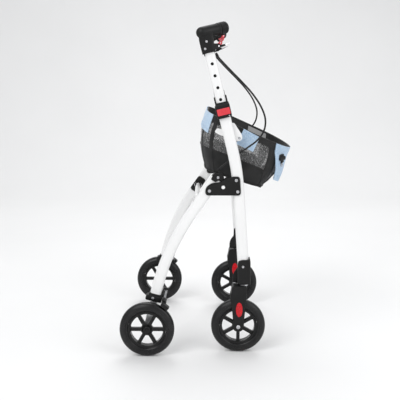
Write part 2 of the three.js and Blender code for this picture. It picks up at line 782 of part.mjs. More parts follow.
function makeBag() {
  const inset = BAG_WALL / 110;
  const lift = BAG_WALL / 150;
  const profile = [
    [0, 0],
    [0.6, 0],
    [0.96, 0],
    [1, 0.05],
    [1, 0.35],
    [1, 0.7],
    [1, 1],
    [1 - inset, 1],
    [1 - inset, 0.7],
    [1 - inset, 0.35],
    [1 - inset, 0.08],
    [0.92, lift],
    [0.6, lift],
    [0, lift],
  ];
  const pot = lathe(profile, BAG_SIDES);
  const position = pot.getAttribute("position");
  for (let i = 0; i < position.count; i += 1) {
    const column = Math.floor(i / profile.length) % BAG_SIDES;
    const [reach, height] = profile[i % profile.length];
    const at = bagPoint(reach, column / BAG_SIDES, height);
    position.setXYZ(i, at.x, at.y, at.z);
  }
  const pegs = [-1, 1].map((sign) => {
    const y0 = Math.min(sign * PEG_FROM, sign * PEG_TO);
    const y1 = Math.max(sign * PEG_FROM, sign * PEG_TO);
    return barY(PEG_RADIUS, y0, y1, BAG_PEG.x, BAG_PEG.z, 12);
  });
  return join(pot, ...pegs);
}

// ---------------------------------------------------------------- assembly
function mesh(name, geometry, look) {
  const made = new THREE.Mesh(geometry, new THREE.MeshStandardMaterial(look));
  made.name = name;
  return made;
}

function wheelPair(side, end, axle, turn) {
  const wheel = new THREE.Group();
  wheel.position.set(axle.x, axle.y, axle.z);
  const rim = mesh(`${side}_${end}_rim`, makeRim(), blackPlastic);
  rim.rotation.y = turn;
  wheel.add(rim, mesh(`${side}_${end}_tyre`, makeTyre(), rubber));
  return wheel;
}

function sideFrame(side) {
  const frame = new THREE.Group();
  const plane = new THREE.Group();
  plane.position.y = FRAME_Y;
  plane.add(
    mesh(`${side}_post`, makePost(), paint),
    mesh(`${side}_rear_leg`, makeLeg(), paint),
    mesh(`${side}_leg_cap`, makeLegCap(), blackPlastic),
    mesh(`${side}_outer_plate`, makeOuterPlate(), blackPlastic),
    mesh(`${side}_inner_plate`, makeInnerPlate(), blackPlastic),
    mesh(`${side}_rear_brace_lug`, makeRearLug(), blackPlastic),
    mesh(`${side}_bag_bracket`, makeBagBracket(), paint),
    mesh(`${side}_brake_cable`, makeCable(), rubber),
    mesh(`${side}_caster_housing`, makeCasterHousing(), blackPlastic),
    mesh(`${side}_caster_fork`, makeFork(), blackPlastic),
  );

  const column = new THREE.Group();
  column.position.set(BUTTON_AT.x, 0, BUTTON_AT.z);
  column.rotation.y = -POST_LEAN;
  column.add(
    mesh(`${side}_collar`, makeCollar(), blackPlastic),
    mesh(`${side}_height_button`, makeHeightButton(), redPlastic),
    mesh(`${side}_height_tube`, makeHeightTube(), paint),
    mesh(`${side}_handle_housing`, makeHousing(), blackPlastic),
    mesh(`${side}_grip`, makeGrip(), rubber),
    mesh(`${side}_brake_lever`, makeLever(), blackPlastic),
    mesh(`${side}_parking_catch`, makeCatch(), redPlastic),
  );

  const ankle = new THREE.Group();
  ankle.position.set(ANKLE.x, 0, ANKLE.z);
  ankle.rotation.y = LEG_FOOT_LEAN;
  ankle.add(
    mesh(`${side}_brake_bracket`, makeBrakeBracket(), blackPlastic),
    mesh(`${side}_brake_arm`, makeBrakeArm(), blackPlastic),
    mesh(`${side}_brake_spring`, makeBrakeSpring(), steel),
    mesh(`${side}_axle_strut`, makeStrut(), steel),
  );

  const frontAxle = mesh(`${side}_front_axle`, makeFrontAxle(), steel);
  frontAxle.position.set(FRONT_AXLE.x, FRONT_AXLE.y, FRONT_AXLE.z);
  const rearAxle = mesh(`${side}_rear_axle`, makeRearAxle(), steel);
  rearAxle.position.set(REAR_AXLE.x, 0, REAR_AXLE.z);
  plane.add(column, ankle);
  frame.add(
    plane,
    frontAxle,
    rearAxle,
    wheelPair(side, "front", FRONT_AXLE, Math.PI / 6),
    wheelPair(side, "rear", REAR_AXLE, 0),
  );
  return frame;
}

// Each brace is two links. A link's own +X points from its side's pivot to the knee.
function brace(name, { x, z }) {
  const group = new THREE.Group();
  group.position.set(x, 0, z);
  for (const [side, sign] of [["right", -1], ["left", 1]]) {
    const link = mesh(`${side}_${name}_link`, makeLink(side === "right"), paint);
    link.position.y = sign * BRACE_PIVOT_Y;
    link.rotation.order = "ZYX";
    link.rotation.z = -sign * (Math.PI / 2);
    link.rotation.y = BRACE_DROOP;
    group.add(link);
  }
  return group;
}

const walker = new THREE.Group();
const rightFrame = sideFrame("right");
rightFrame.scale.y = -1;
walker.add(
  rightFrame,
  sideFrame("left"),
  brace("front", FRONT_BRACE),
  brace("rear", REAR_BRACE),
  mesh("bag", makeBag(), fabric),
);

export default walker;
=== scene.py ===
import math

import bmesh
import bpy
from mathutils import Matrix, Vector, noise


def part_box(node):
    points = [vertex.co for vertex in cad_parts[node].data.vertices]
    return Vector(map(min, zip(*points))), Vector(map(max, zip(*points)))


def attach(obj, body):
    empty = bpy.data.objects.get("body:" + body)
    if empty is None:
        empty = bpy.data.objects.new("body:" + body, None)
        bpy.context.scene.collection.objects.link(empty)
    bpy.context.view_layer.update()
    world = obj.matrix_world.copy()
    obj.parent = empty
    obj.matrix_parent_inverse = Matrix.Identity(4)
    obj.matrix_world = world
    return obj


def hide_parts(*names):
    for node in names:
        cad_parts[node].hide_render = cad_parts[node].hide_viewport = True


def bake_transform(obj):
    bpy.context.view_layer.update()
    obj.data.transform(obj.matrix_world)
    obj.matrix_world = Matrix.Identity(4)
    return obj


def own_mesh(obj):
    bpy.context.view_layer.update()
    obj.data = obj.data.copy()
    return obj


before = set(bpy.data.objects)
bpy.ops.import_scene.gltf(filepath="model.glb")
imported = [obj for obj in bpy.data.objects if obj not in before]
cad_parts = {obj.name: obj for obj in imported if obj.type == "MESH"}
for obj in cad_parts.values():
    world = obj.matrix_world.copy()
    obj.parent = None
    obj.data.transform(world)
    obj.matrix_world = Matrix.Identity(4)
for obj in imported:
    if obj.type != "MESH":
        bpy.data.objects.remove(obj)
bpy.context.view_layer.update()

# A folding rollator walker, in the frame's own axes: X forward, Y to the user's left, Z up.
# Pieces are made in millimetres, as the left side's, and placed in metres. In a side's own
# coordinates y is the distance outward from the middle plane, so the right side is a mirror.

MM = 0.001
LEFT, RIGHT = 1, -1
SIDE_NAME = {LEFT: "left", RIGHT: "right"}


def middle(node):
    """The middle of a CAD node's box, in millimetres."""
    low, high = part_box(node)
    return (low + high) / (2 * MM)


# ---------------------------------------------------------------- sizes, in millimetres
FRAME_Y = round(middle("left_front_tyre").y, 2)
REAR_WHEEL = middle("left_rear_tyre")
FRONT_WHEEL = middle("left_front_tyre")
WHEEL_RADIUS = (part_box("left_rear_tyre")[1].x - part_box("left_rear_tyre")[0].x) / (2 * MM)
TYRE_WIDTH = (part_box("left_rear_tyre")[1].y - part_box("left_rear_tyre")[0].y) / MM
TYRE_INNER = 52.5
TUBE_WIDTH = 31
TUBE_THICKNESS = 18
HEIGHT_TUBE_WIDTH = 27
HEIGHT_TUBE_THICKNESS = 14
BORE_ROOM = 0.6
POST_LEAN = math.radians(13.6)
POST_FOOT_LEAN = math.radians(4.1)
POST_OVER_BUTTON = 12
POST_STRAIGHT = 121
POST_BEND_RADIUS = 660
POST_FOOT_Z = 216
BUTTON_AT = Vector((42, 0, 668))
BUTTON_V = -2.5
HOLE_PITCH = 31.9
HOLE_RADIUS = 3.7
LEG_TOP = Vector((29, 0, 492))
LEG_LEAN = math.radians(35)
LEG_FOOT_LEAN = math.radians(14)
LEG_IN_CAP = 8
LEG_STRAIGHT = 120.7
LEG_BEND_RADIUS = 650
LEG_FOOT_Z = 161
GRIP_V = 209.5
GRIP_TOE_IN = math.radians(28)
BARREL_LENGTH = 44
GRIP_END = 68
HOUSING_V = 154
LEVER_PIVOT = (27, 166)
CATCH_PIVOT = (49, 189)
BRACE_PIVOT_Y = 195
BRACE_DROOP = math.radians(4)
FRONT_BRACE = Vector((30, 0, 470))
REAR_BRACE = Vector((-33, 0, 405))
ANKLE_RISE = 77  # of the ankle above the rear axle
ANKLE = Vector((REAR_WHEEL.x + ANKLE_RISE * math.tan(LEG_FOOT_LEAN), 0, 152))
ANKLE_TO_AXLE = (ANKLE.z - REAR_WHEEL.z) / math.cos(LEG_FOOT_LEAN)
BRAKE_PIVOT = (22, 2)


# ---------------------------------------------------------------- materials
class Nodes:
    """A material's nodes, added and joined by short calls."""

    def __init__(self, name):
        self.material = bpy.data.materials.new(name)
        self.material.use_nodes = True
        self.tree = self.material.node_tree
        self.tree.nodes.clear()
        self.shader = self.add("ShaderNodeBsdfPrincipled")
        output = self.add("ShaderNodeOutputMaterial")
        self.join(self.shader.outputs["BSDF"], output.inputs["Surface"])
        self.place = self.add("ShaderNodeTexCoord").outputs["Object"]

    def add(self, kind, **values):
        node = self.tree.nodes.new(kind)
        for key, value in values.items():
            if hasattr(node, key):
                setattr(node, key, value)
            else:
                node.inputs[key.replace("_", " ")].default_value = value
        return node

    def join(self, source, target):
        self.tree.links.new(source, target)

    def set(self, **values):
        for key, value in values.items():
            self.shader.inputs[key.replace("_", " ")].default_value = value

    def noise(self, scale, detail=2.0, stretch=None):
        made = self.add("ShaderNodeTexNoise", Scale=scale, Detail=detail)
        place = self.place
        if stretch:
            mapping = self.add("ShaderNodeMapping")
            mapping.inputs["Scale"].default_value = stretch
            self.join(place, mapping.inputs["Vector"])
            place = mapping.outputs["Vector"]
        self.join(place, made.inputs["Vector"])
        return made.outputs["Fac"]

    def ramp(self, source, low, high, start=0.3, end=0.7):
        """A number or a colour from low to high, as source goes from start to end."""
        made = self.add("ShaderNodeValToRGB")
        made.color_ramp.elements[0].position = start
        made.color_ramp.elements[1].position = end
        made.color_ramp.elements[0].color = colour(low)
        made.color_ramp.elements[1].color = colour(high)
        self.join(source, made.inputs["Fac"])
        return made.outputs["Color"]

    def mix(self, share, first, second):
        made = self.add("ShaderNodeMix", data_type="RGBA")
        self.join(share, made.inputs["Factor"])
        for value, socket in ((first, made.inputs["A"]), (second, made.inputs["B"])):
            if isinstance(value, bpy.types.NodeSocket):
                self.join(value, socket)
            else:
                socket.default_value = colour(value)
        return made.outputs["Result"]

    def math(self, operation, first, second=0.5):
        made = self.add("ShaderNodeMath", operation=operation)
        for value, socket in ((first, made.inputs[0]), (second, made.inputs[1])):
            if isinstance(value, bpy.types.NodeSocket):
                self.join(value, socket)
            else:
                socket.default_value = value
        return made.outputs[0]

    def bump(self, source, strength, distance):
        made = self.add("ShaderNodeBump", Strength=strength, Distance=distance)
        self.join(source, made.inputs["Height"])
        earlier = self.shader.inputs["Normal"].links
        if earlier:
            self.join(earlier[0].from_socket, made.inputs["Normal"])
        self.join(made.outputs["Normal"], self.shader.inputs["Normal"])

    def drive(self, name, source):
        self.join(source, self.shader.inputs[name])

    def cloud(self, name, scale, detail, low, high):
        """Lets a shader's value wander from low to high in clouds."""
        self.drive(name, self.ramp(self.noise(scale, detail), low, high))


def colour(value):
    """A colour from one number, three or four."""
    if isinstance(value, (int, float)):
        return (value, value, value, 1)
    return (*value, 1) if len(value) == 3 else tuple(value)


def moulded(name, dark, light, rough=(0.38, 0.55), grain=900, strength=0.12):
    """Moulded plastic: a fine pebbled grain, faint cloudy shine and a little dust."""
    made = Nodes(name)
    clouds = made.noise(14, 4)
    made.drive("Base Color", made.ramp(clouds, dark, light))
    made.cloud("Roughness", 45, 5, rough[0], rough[1])
    made.bump(made.noise(grain, 2), strength, 0.0003)
    made.bump(made.noise(60, 2), 0.05, 0.0006)
    made.set(Specular_IOR_Level=0.3)
    return made.material


def make_paint():
    """White gloss paint: slight orange peel, and soft warm and cool clouds."""
    made = Nodes("white_paint")
    tone = made.ramp(made.noise(5, 2), (0.825, 0.825, 0.82), (0.85, 0.85, 0.848))
    specks = made.ramp(made.noise(420, 2), 0.0, 1.0, 0.72, 0.76)
    made.drive("Base Color", made.mix(specks, tone, (0.74, 0.74, 0.73)))
    made.cloud("Roughness", 18, 2, 0.22, 0.27)
    made.bump(made.noise(380, 1), 0.03, 0.0003)
    made.set(Coat_Weight=0.35, Coat_Roughness=0.12)
    return made.material


def make_tyre_rubber():
    made = Nodes("tyre_rubber")
    dust = made.ramp(made.noise(26, 6), 0.0, 1.0, 0.5, 0.78)
    made.drive("Base Color", made.mix(dust, (0.003, 0.003, 0.0035), (0.010, 0.0095, 0.009)))
    made.cloud("Roughness", 40, 4, 0.24, 0.36)
    made.bump(made.noise(700, 3), 0.08, 0.0003)
    made.set(Specular_IOR_Level=0.4)
    return made.material


def make_grip_rubber():
    made = Nodes("grip_rubber")
    made.cloud("Base Color", 30, 5, 0.003, 0.008)
    made.cloud("Roughness", 70, 4, 0.45, 0.66)
    pebbles = made.add("ShaderNodeTexVoronoi", Scale=650.0)
    made.join(made.place, pebbles.inputs["Vector"])
    made.bump(pebbles.outputs["Distance"], 0.25, 0.0003)
    made.set(Specular_IOR_Level=0.3)
    return made.material


def make_metal(name, tone, rough, stretch):
    """Bare or plated metal, brushed along one way, with cloudy shine."""
    made = Nodes(name)
    brushed = made.noise(120, 4, stretch)
    low, high = (tuple(c * k for c in tone) for k in (0.86, 1.0))
    made.drive("Base Color", made.ramp(brushed, low, high))
    made.drive("Roughness", made.ramp(brushed, rough[0], rough[1]))
    made.bump(brushed, 0.06, 0.0002)
    made.set(Metallic=1.0)
    return made.material


def make_red_reflector():
    """Clear red plastic over small moulded cells."""
    made = Nodes("red_reflector")
    cells = made.add("ShaderNodeTexVoronoi", Scale=380.0)
    made.join(made.place, cells.inputs["Vector"])
    tone = made.ramp(cells.outputs["Distance"], (0.80, 0.004, 0.014), (0.42, 0.002, 0.008), 0.1, 0.6)
    made.drive("Base Color", tone)
    made.cloud("Roughness", 50, 3, 0.16, 0.3)
    made.bump(cells.outputs["Distance"], 0.3, 0.0004)
    made.set(Coat_Weight=0.25, Coat_Roughness=0.1, Specular_IOR_Level=0.3)
    return made.material


def weave(made, scale):
    """Crossed threads round and up an upright wall, from 0 in the gaps to 1."""
    split = made.add("ShaderNodeSeparateXYZ")
    made.join(made.place, split.inputs[0])
    waves = []
    for run in (made.math("ADD", split.outputs[0], split.outputs[1]), split.outputs[2]):
        turned = made.math("MULTIPLY", run, scale)
        waves.append(made.math("ABSOLUTE", made.math("SINE", turned)))
    return made.math("MAXIMUM", waves[0], waves[1])


def make_denim():
    """Washed light-blue denim: a diagonal twill with pale and dark yarns."""
    made = Nodes("light_denim")
    split = made.add("ShaderNodeSeparateXYZ")
    made.join(made.place, split.inputs[0])
    along = made.math("ADD", split.outputs[0], split.outputs[2])
    along = made.math("ADD", along, split.outputs[1])
    twill = made.math("SINE", made.math("MULTIPLY", along, 2600.0))
    twill = made.math("MULTIPLY_ADD", twill)
    washed = made.ramp(made.noise(22, 6), (0.30, 0.46, 0.66), (0.44, 0.60, 0.78))
    yarn = made.ramp(made.noise(900, 3, (1, 1, 0.2)), 0.0, 1.0, 0.42, 0.62)
    tone = made.mix(yarn, washed, (0.58, 0.71, 0.84))
    shade = made.ramp(twill, 0.82, 1.0, 0.2, 0.8)
    product = made.add("ShaderNodeMix", data_type="RGBA", blend_type="MULTIPLY")
    product.inputs["Factor"].default_value = 0.7
    made.join(tone, product.inputs["A"])
    made.join(shade, product.inputs["B"])
    made.drive("Base Color", product.outputs["Result"])
    made.cloud("Roughness", 120, 3, 0.82, 0.95)
    made.bump(twill, 0.35, 0.0004)
    made.bump(made.noise(500, 3), 0.2, 0.0005)
    made.set(Sheen_Weight=0.25, Sheen_Roughness=0.5)
    return made.material


def make_nylon(name, dark, light):
    """Woven black nylon, with a faint crosshatch and creased shine."""
    made = Nodes(name)
    threads = weave(made, 3200.0)
    tone = made.ramp(made.noise(16, 5), dark, light)
    made.drive("Base Color", made.mix(threads, tone, light))
    made.cloud("Roughness", 35, 4, 0.6, 0.8)
    made.bump(threads, 0.3, 0.0003)
    made.bump(made.noise(28, 4), 0.25, 0.0015)
    made.set(Sheen_Weight=0.06, Sheen_Roughness=0.45)
    return made.material


def make_mesh_cloth():
    """Open black net: the threads hide what is behind them, and the holes let it show."""
    made = Nodes("black_net")
    net = weave(made, 1100.0)
    holes = made.ramp(net, 0.06, 0.86, 0.80, 0.97)
    glints = made.ramp(made.noise(330, 2), 0.0, 1.0, 0.52, 0.66)
    made.drive("Base Color", made.mix(glints, made.ramp(made.noise(18, 5), 0.06, 0.13), 0.42))
    made.cloud("Roughness", 60, 3, 0.55, 0.75)
    soft = made.math("MULTIPLY", made.ramp(made.noise(12, 4), 0.8, 1.0), holes)
    made.drive("Alpha", soft)
    made.bump(net, 0.4, 0.0004)
    made.set(Sheen_Weight=0.35, Sheen_Roughness=0.4)
    return made.material


PAINT = make_paint()
BLACK = moulded("black_plastic", 0.003, 0.007)
RIM_BLACK = moulded("rim_plastic", 0.003, 0.006, (0.2, 0.32), 500, 0.05)
RED = moulded("red_plastic", (0.66, 0.045, 0.06), (0.74, 0.065, 0.085), (0.3, 0.45), 700, 0.05)
REFLECTOR = make_red_reflector()
TYRE = make_tyre_rubber()
GRIP = make_grip_rubber()
CABLE = moulded("cable_sheath", 0.008, 0.016, (0.3, 0.42), 400, 0.05)
STEEL = make_metal("zinc_steel", (0.62, 0.62, 0.64), (0.24, 0.4), (1, 8, 1))
ALUMINIUM = make_metal("bare_aluminium", (0.80, 0.80, 0.81), (0.3, 0.45), (1, 1, 9))
DENIM = make_denim()
NYLON = make_nylon("black_nylon", 0.0025, 0.0065)
LINING = make_nylon("grey_lining", 0.005, 0.012)
WEBBING = make_nylon("black_webbing", 0.003, 0.008)
NET = make_mesh_cloth()
THREAD = moulded("pale_thread", (0.42, 0.55, 0.66), (0.55, 0.68, 0.78), (0.7, 0.85), 600, 0.1)
GREY_THREAD = moulded("grey_thread", 0.02, 0.05, (0.7, 0.85), 600, 0.1)
PATCH = make_nylon("grey_patch", 0.22, 0.34)


# ---------------------------------------------------------------- mesh helpers
def link(data):
    made = bpy.data.objects.new("piece", data)
    bpy.context.scene.collection.objects.link(made)
    return made


def from_faces(points, faces):
    mesh = bpy.data.meshes.new("piece")
    mesh.from_pydata([tuple(p) for p in points], [], faces)
    mesh.update()
    made = link(mesh)
    face_out(made)
    return made


def face_out(made):
    mesh = bmesh.new()
    mesh.from_mesh(made.data)
    bmesh.ops.remove_doubles(mesh, verts=mesh.verts, dist=1e-4)
    bmesh.ops.recalc_face_normals(mesh, faces=mesh.faces)
    mesh.to_mesh(made.data)
    mesh.free()


def rings(loops, closed=False):
    """A skin over loops of equal count. closed joins the last loop to the first."""
    count = len(loops[0])
    points = [p for loop in loops for p in loop]
    faces = []
    last = len(loops) if closed else len(loops) - 1
    for i in range(last):
        a, b = i * count, ((i + 1) % len(loops)) * count
        for j in range(count):
            k = (j + 1) % count
            faces.append((a + j, a + k, b + k, b + j))
    if not closed:
        faces.append(tuple(range(count)))
        faces.append(tuple(reversed(range(len(points) - count, len(points)))))
    return from_faces(points, faces)


def turns(steps):
    """Even angles once round."""
    return [2 * math.pi * i / steps for i in range(steps)]


def lathe(profile, steps=72, closed=False):
    """profile is (radius, y) pairs turned round the Y axis."""
    loops = [[(radius * math.cos(a), y, radius * math.sin(a)) for a in turns(steps)]
             for radius, y in profile]
    return rings(loops, closed)


def mirrored(half):
    """The other half of a lathe's profile, mirrored along Y."""
    return [(radius, -y) for radius, y in reversed(half)]


def rod(radius, y0, y1, steps):
    return lathe([(0.01, y0), (radius, y0), (radius, y1), (0.01, y1)], steps)


def arc(centre, radius, start, end, steps=8):
    """Points of an arc, with its angles in degrees."""
    angles = [math.radians(start + (end - start) * i / steps) for i in range(steps + 1)]
    return [(centre[0] + radius * math.cos(a), centre[1] + radius * math.sin(a)) for a in angles]


def rounded(corners, steps=6):
    """An outline of corners (x, z, radius), each rounded where its radius is given."""
    points = []
    count = len(corners)
    for i, corner in enumerate(corners):
        here = Vector(corner[:2])
        radius = corner[2] if len(corner) > 2 else 0
        if not radius:
            points.append(tuple(here))
            continue
        before = Vector(corners[i - 1][:2]) - here
        after = Vector(corners[(i + 1) % count][:2]) - here
        radius = min(radius, before.length * 0.48, after.length * 0.48)
        before.normalize()
        after.normalize()
        a, b = here + radius * before, here + radius * after
        for k in range(steps + 1):
            t = k / steps
            points.append(tuple(a * (1 - t) ** 2 + here * 2 * t * (1 - t) + b * t * t))
    return points


def signed_area(loop):
    return sum(a[0] * b[1] - b[0] * a[1] for a, b in zip(loop, loop[1:] + loop[:1])) / 2


def plate(loops, y0, y1, edge=0.8):
    """Outlines in X and Z, the first outside and any others holes, given thickness along Y
    with rounded edges."""
    curve = bpy.data.curves.new("outline", "CURVE")
    curve.dimensions = "2D"
    curve.fill_mode = "BOTH"
    edge = min(edge, (y1 - y0) / 2 * 0.95)
    curve.extrude = (y1 - y0) / 2 - edge
    curve.bevel_depth = edge
    curve.bevel_resolution = 2
    curve.offset = -edge
    for i, loop in enumerate(loops):
        # the outside runs anticlockwise and the holes clockwise, so the offset is into the material
        ordered = loop if (signed_area(loop) > 0) == (i == 0) else list(reversed(loop))
        spline = curve.splines.new("POLY")
        spline.points.add(len(ordered) - 1)
        for point, (x, z) in zip(spline.points, ordered):
            point.co = (x, z, 0, 1)
        spline.use_cyclic_u = True
    source = link(curve)
    made = link(bpy.data.meshes.new_from_object(source))
    bpy.data.objects.remove(source)
    made.data.transform(Matrix.Translation((0, (y0 + y1) / 2, 0)) @ Matrix.Rotation(math.pi / 2, 4, "X"))
    face_out(made)
    return made


def slab(corners, y0, y1, edge):
    """A plate with one outline, whose corners are rounded."""
    return plate([rounded(corners)], y0, y1, edge)


def rectangle(x0, x1, z0, z1, radius):
    """Corners of a rectangle, all of one radius."""
    return [(x0, z0, radius), (x1, z0, radius), (x1, z1, radius), (x0, z1, radius)]


def bevelled(made, width, segments, angle):
    modifier = made.modifiers.new("bevel", "BEVEL")
    modifier.width = width
    modifier.segments = segments
    modifier.limit_method = "ANGLE"
    modifier.angle_limit = math.radians(angle)
    return applied(made)


def applied(made):
    """The object with its modifiers made real."""
    graph = bpy.context.evaluated_depsgraph_get()
    mesh = bpy.data.meshes.new_from_object(made.evaluated_get(graph))
    old = made.data
    made.modifiers.clear()
    made.data = mesh
    bpy.data.meshes.remove(old)
    return made


def cut(made, *cutters):
    for cutter in cutters:
        modifier = made.modifiers.new("cut", "BOOLEAN")
        modifier.operation = "DIFFERENCE"
        modifier.solver = "EXACT"
        modifier.object = cutter
    made = applied(made)
    for cutter in cutters:
        bpy.data.objects.remove(cutter)
    return made


def joined(*pieces):
    """One object of several, which it takes the place of."""
    mesh = bmesh.new()
    for piece in pieces:
        mesh.from_mesh(piece.data)
    made = link(bpy.data.meshes.new("piece"))
    mesh.to_mesh(made.data)
    mesh.free()
    for piece in pieces:
        bpy.data.objects.remove(piece)
    return made


def fused(made, voxel, smoothing):
    """Melts overlapping pieces into one moulding with soft inner corners."""
    modifier = made.modifiers.new("remesh", "REMESH")
    modifier.mode = "VOXEL"
    modifier.voxel_size = voxel
    smooth = made.modifiers.new("smooth", "SMOOTH")
    smooth.iterations = smoothing
    smooth.factor = 0.5
    return applied(made)


def moved(made, matrix):
    made.data.transform(matrix)
    return made


def shift(x=0, y=0, z=0):
    return Matrix.Translation((x, y, z))


def turn(angle, axis):
    return Matrix.Rotation(angle, 4, axis)


COLUMN = shift(BUTTON_AT.x, FRAME_Y, BUTTON_AT.z) @ turn(-POST_LEAN, "Y")
TOE_IN = turn(-GRIP_TOE_IN, "Z")
ANKLE_FRAME = shift(ANKLE.x, FRAME_Y, ANKLE.z) @ turn(LEG_FOOT_LEAN, "Y")
PLANE = shift(0, FRAME_Y, 0)


def place(made, name, side, body, material, stands_for=(), matrix=PLANE, sharp=38, slot=None):
    """Moves a finished piece from its own frame to its side of the walker, and to its body."""
    made.name = name if side is None else f"{SIDE_NAME[side]}_{name}"
    made.data.name = made.name
    made.data.transform(matrix)
    if side == RIGHT:
        made.data.transform(Matrix.Diagonal((1, -1, 1, 1)))
        made.data.flip_normals()
    made.data.transform(Matrix.Scale(MM, 4))
    dress(made, material, sharp)
    if body:
        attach(made, body if side is None else f"{SIDE_NAME[side]}_{body}")
    nodes = [n if side is None else f"{SIDE_NAME[side]}_{n}" for n in stands_for]
    if nodes:
        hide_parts(*nodes)
    return made


def dress(made, material, sharp=38):
    made.data.materials.clear()
    made.data.materials.append(material)
    for face in made.data.polygons:
        face.use_smooth = True
        face.material_index = 0
    made.data.set_sharp_from_angle(angle=math.radians(sharp))


# ---------------------------------------------------------------- sections and tubes
def flat_oval(width, thickness, steps=12):
    """Points (along the width, across) round a flat oval."""
    radius = thickness / 2
    reach = width / 2 - radius
    front = arc((reach, 0), radius, -90, 90, steps)
    back = arc((-reach, 0), radius, 90, 270, steps)
    return front + back


def oval_bar(width, thickness, low, high):
    """A flat oval bar along Z, which cuts a socket for a tube."""
    return rings([[(a, b, z) for a, b in flat_oval(width, thickness)] for z in (low, high)])


def bent_axis(start, lean, straight, radius, foot_lean, foot_z, sign, steps=48):
    """(point, lean) pairs down a tube: straight, one bend, then straight to foot_z."""
    pairs = [(start.copy(), lean)]

    def step(now, distance):
        last = pairs[-1][0]
        across = Vector((sign * math.sin(now), 0, -math.cos(now))) * distance
        pairs.append((last + across, now))

    for _ in range(4):
        step(lean, straight / 4)
    turned = lean - foot_lean
    for i in range(steps):
        now = lean - turned * (i + 0.5) / steps
        step(now, radius * turned / steps)
    rest = (pairs[-1][0].z - foot_z) / math.cos(foot_lean)
    for _ in range(4):
        step(foot_lean, rest / 4)
    return pairs


def tube_along(pairs, sign, section):
    loops = []
    for point, lean in pairs:
        across = Vector((math.cos(lean), 0, sign * math.sin(lean)))
        loops.append([point + across * a + Vector((0, b, 0)) for a, b in section])
    return rings(loops)


def round_sweep(path, radius, steps=14):
    """A round cord along a list of points."""
    loops = []
    normal = Vector((0, 1, 0))
    for i, point in enumerate(path):
        tangent = (path[min(i + 1, len(path) - 1)] - path[max(i - 1, 0)]).normalized()
        normal = (normal - tangent * normal.dot(tangent)).normalized()
        side = tangent.cross(normal)
        loops.append([point + (normal * math.cos(a) + side * math.sin(a)) * radius for a in turns(steps)])
    return rings(loops)


def smooth_path(points, per_span=6):
    """A Catmull-Rom curve through points."""
    pts = [Vector(p) for p in points]
    pts = [pts[0] * 2 - pts[1]] + pts + [pts[-1] * 2 - pts[-2]]
    path = []
    for a, b, c, d in zip(pts, pts[1:], pts[2:], pts[3:]):
        for k in range(per_span):
            t = k / per_span
            path.append(
                0.5 * (2 * b + (c - a) * t + (2 * a - 5 * b + 4 * c - d) * t * t
                       + (3 * b - a - 3 * c + d) * t ** 3)
            )
    path.append(pts[-2])
    return path


# ---------------------------------------------------------------- fasteners
def bolt_head(radius, height):
    """A domed screw head with its base at y 0 and a hexagon socket in its top."""
    profile = [(0.01, 0), (radius, 0), (radius, height * 0.45), (radius * 0.93, height * 0.75),
               (radius * 0.72, height * 0.96), (radius * 0.5, height), (0.01, height)]
    head = lathe(profile, 32)
    key = lathe([(0.01, height * 0.4), (radius * 0.42, height * 0.4), (radius * 0.42, height * 2),
                 (0.01, height * 2)], 6)
    return cut(head, key)


def bolts(name, spots, radius, height, face, side, body="frame", material=STEEL, matrix=PLANE, out=1):
    """Screw heads at (x, z) spots on the face y, pointing outward or, with out -1, inward."""
    heads = []
    for x, z in spots:
        head = bolt_head(radius, height)
        if out < 0:
            moved(head, turn(math.pi, "Z"))
        heads.append(moved(head, shift(x, face, z)))
    return place(joined(*heads), name, side, body, material, matrix=matrix)


# ---------------------------------------------------------------- wheels
def make_tyre(side, end, centre):
    half = TYRE_WIDTH / 2
    outer = WHEEL_RADIUS
    edge = [(TYRE_INNER, half - 3.2), (TYRE_INNER + 1.2, half - 1.2), (TYRE_INNER + 4, half - 0.1),
            (57.6, half - 0.1), (58.2, half - 0.7), (59.2, half - 0.7), (59.8, half), (65, half - 0.1),
            (67.6, half - 0.6), (68.2, half - 1.2), (69.4, half - 1.4), (70.4, half - 1.8),
            (72.6, half - 4), (74.1, half - 6.6), (outer - 0.25, half - 8.2), (outer - 0.1, 4.6),
            (outer - 1.0, 4.2), (outer - 1.0, 3.2), (outer - 0.1, 2.8), (outer, 1.2)]
    tyre = lathe(edge + mirrored(edge), 120, closed=True)
    return place(tyre, f"{end}_tyre_skin", side, f"{end}_wheel", TYRE, [f"{end}_tyre"], shift(*centre))


HUB_RADIUS = 14
WINDOW_OUT = 44.8
WINDOW_IN = 17
SPOKES = 6


def spoke_windows():
    """Six wedge windows with round corners, between straight-sided spokes."""
    windows = []
    half_spoke = 4.7
    for i in range(SPOKES):
        a0 = 2 * math.pi * i / SPOKES
        a1 = a0 + 2 * math.pi / SPOKES

        def corner(radius, angle, sign, round_by):
            shift_by = sign * math.asin(half_spoke / radius)
            return (radius * math.cos(angle + shift_by), radius * math.sin(angle + shift_by), round_by)

        steps = 4
        rim = []
        low = a0 + math.asin(half_spoke / WINDOW_OUT)
        high = a1 - math.asin(half_spoke / WINDOW_OUT)
        for k in range(1, steps):
            a = low + (high - low) * k / steps
            rim.append((WINDOW_OUT * math.cos(a), WINDOW_OUT * math.sin(a)))
        outline = [corner(WINDOW_IN, a0, 1, 2.2), corner(WINDOW_OUT, a0, 1, 3.5), *rim,
                   corner(WINDOW_OUT, a1, -1, 3.5), corner(WINDOW_IN, a1, -1, 2.2)]
        windows.append(rounded(outline, 4))
    return windows


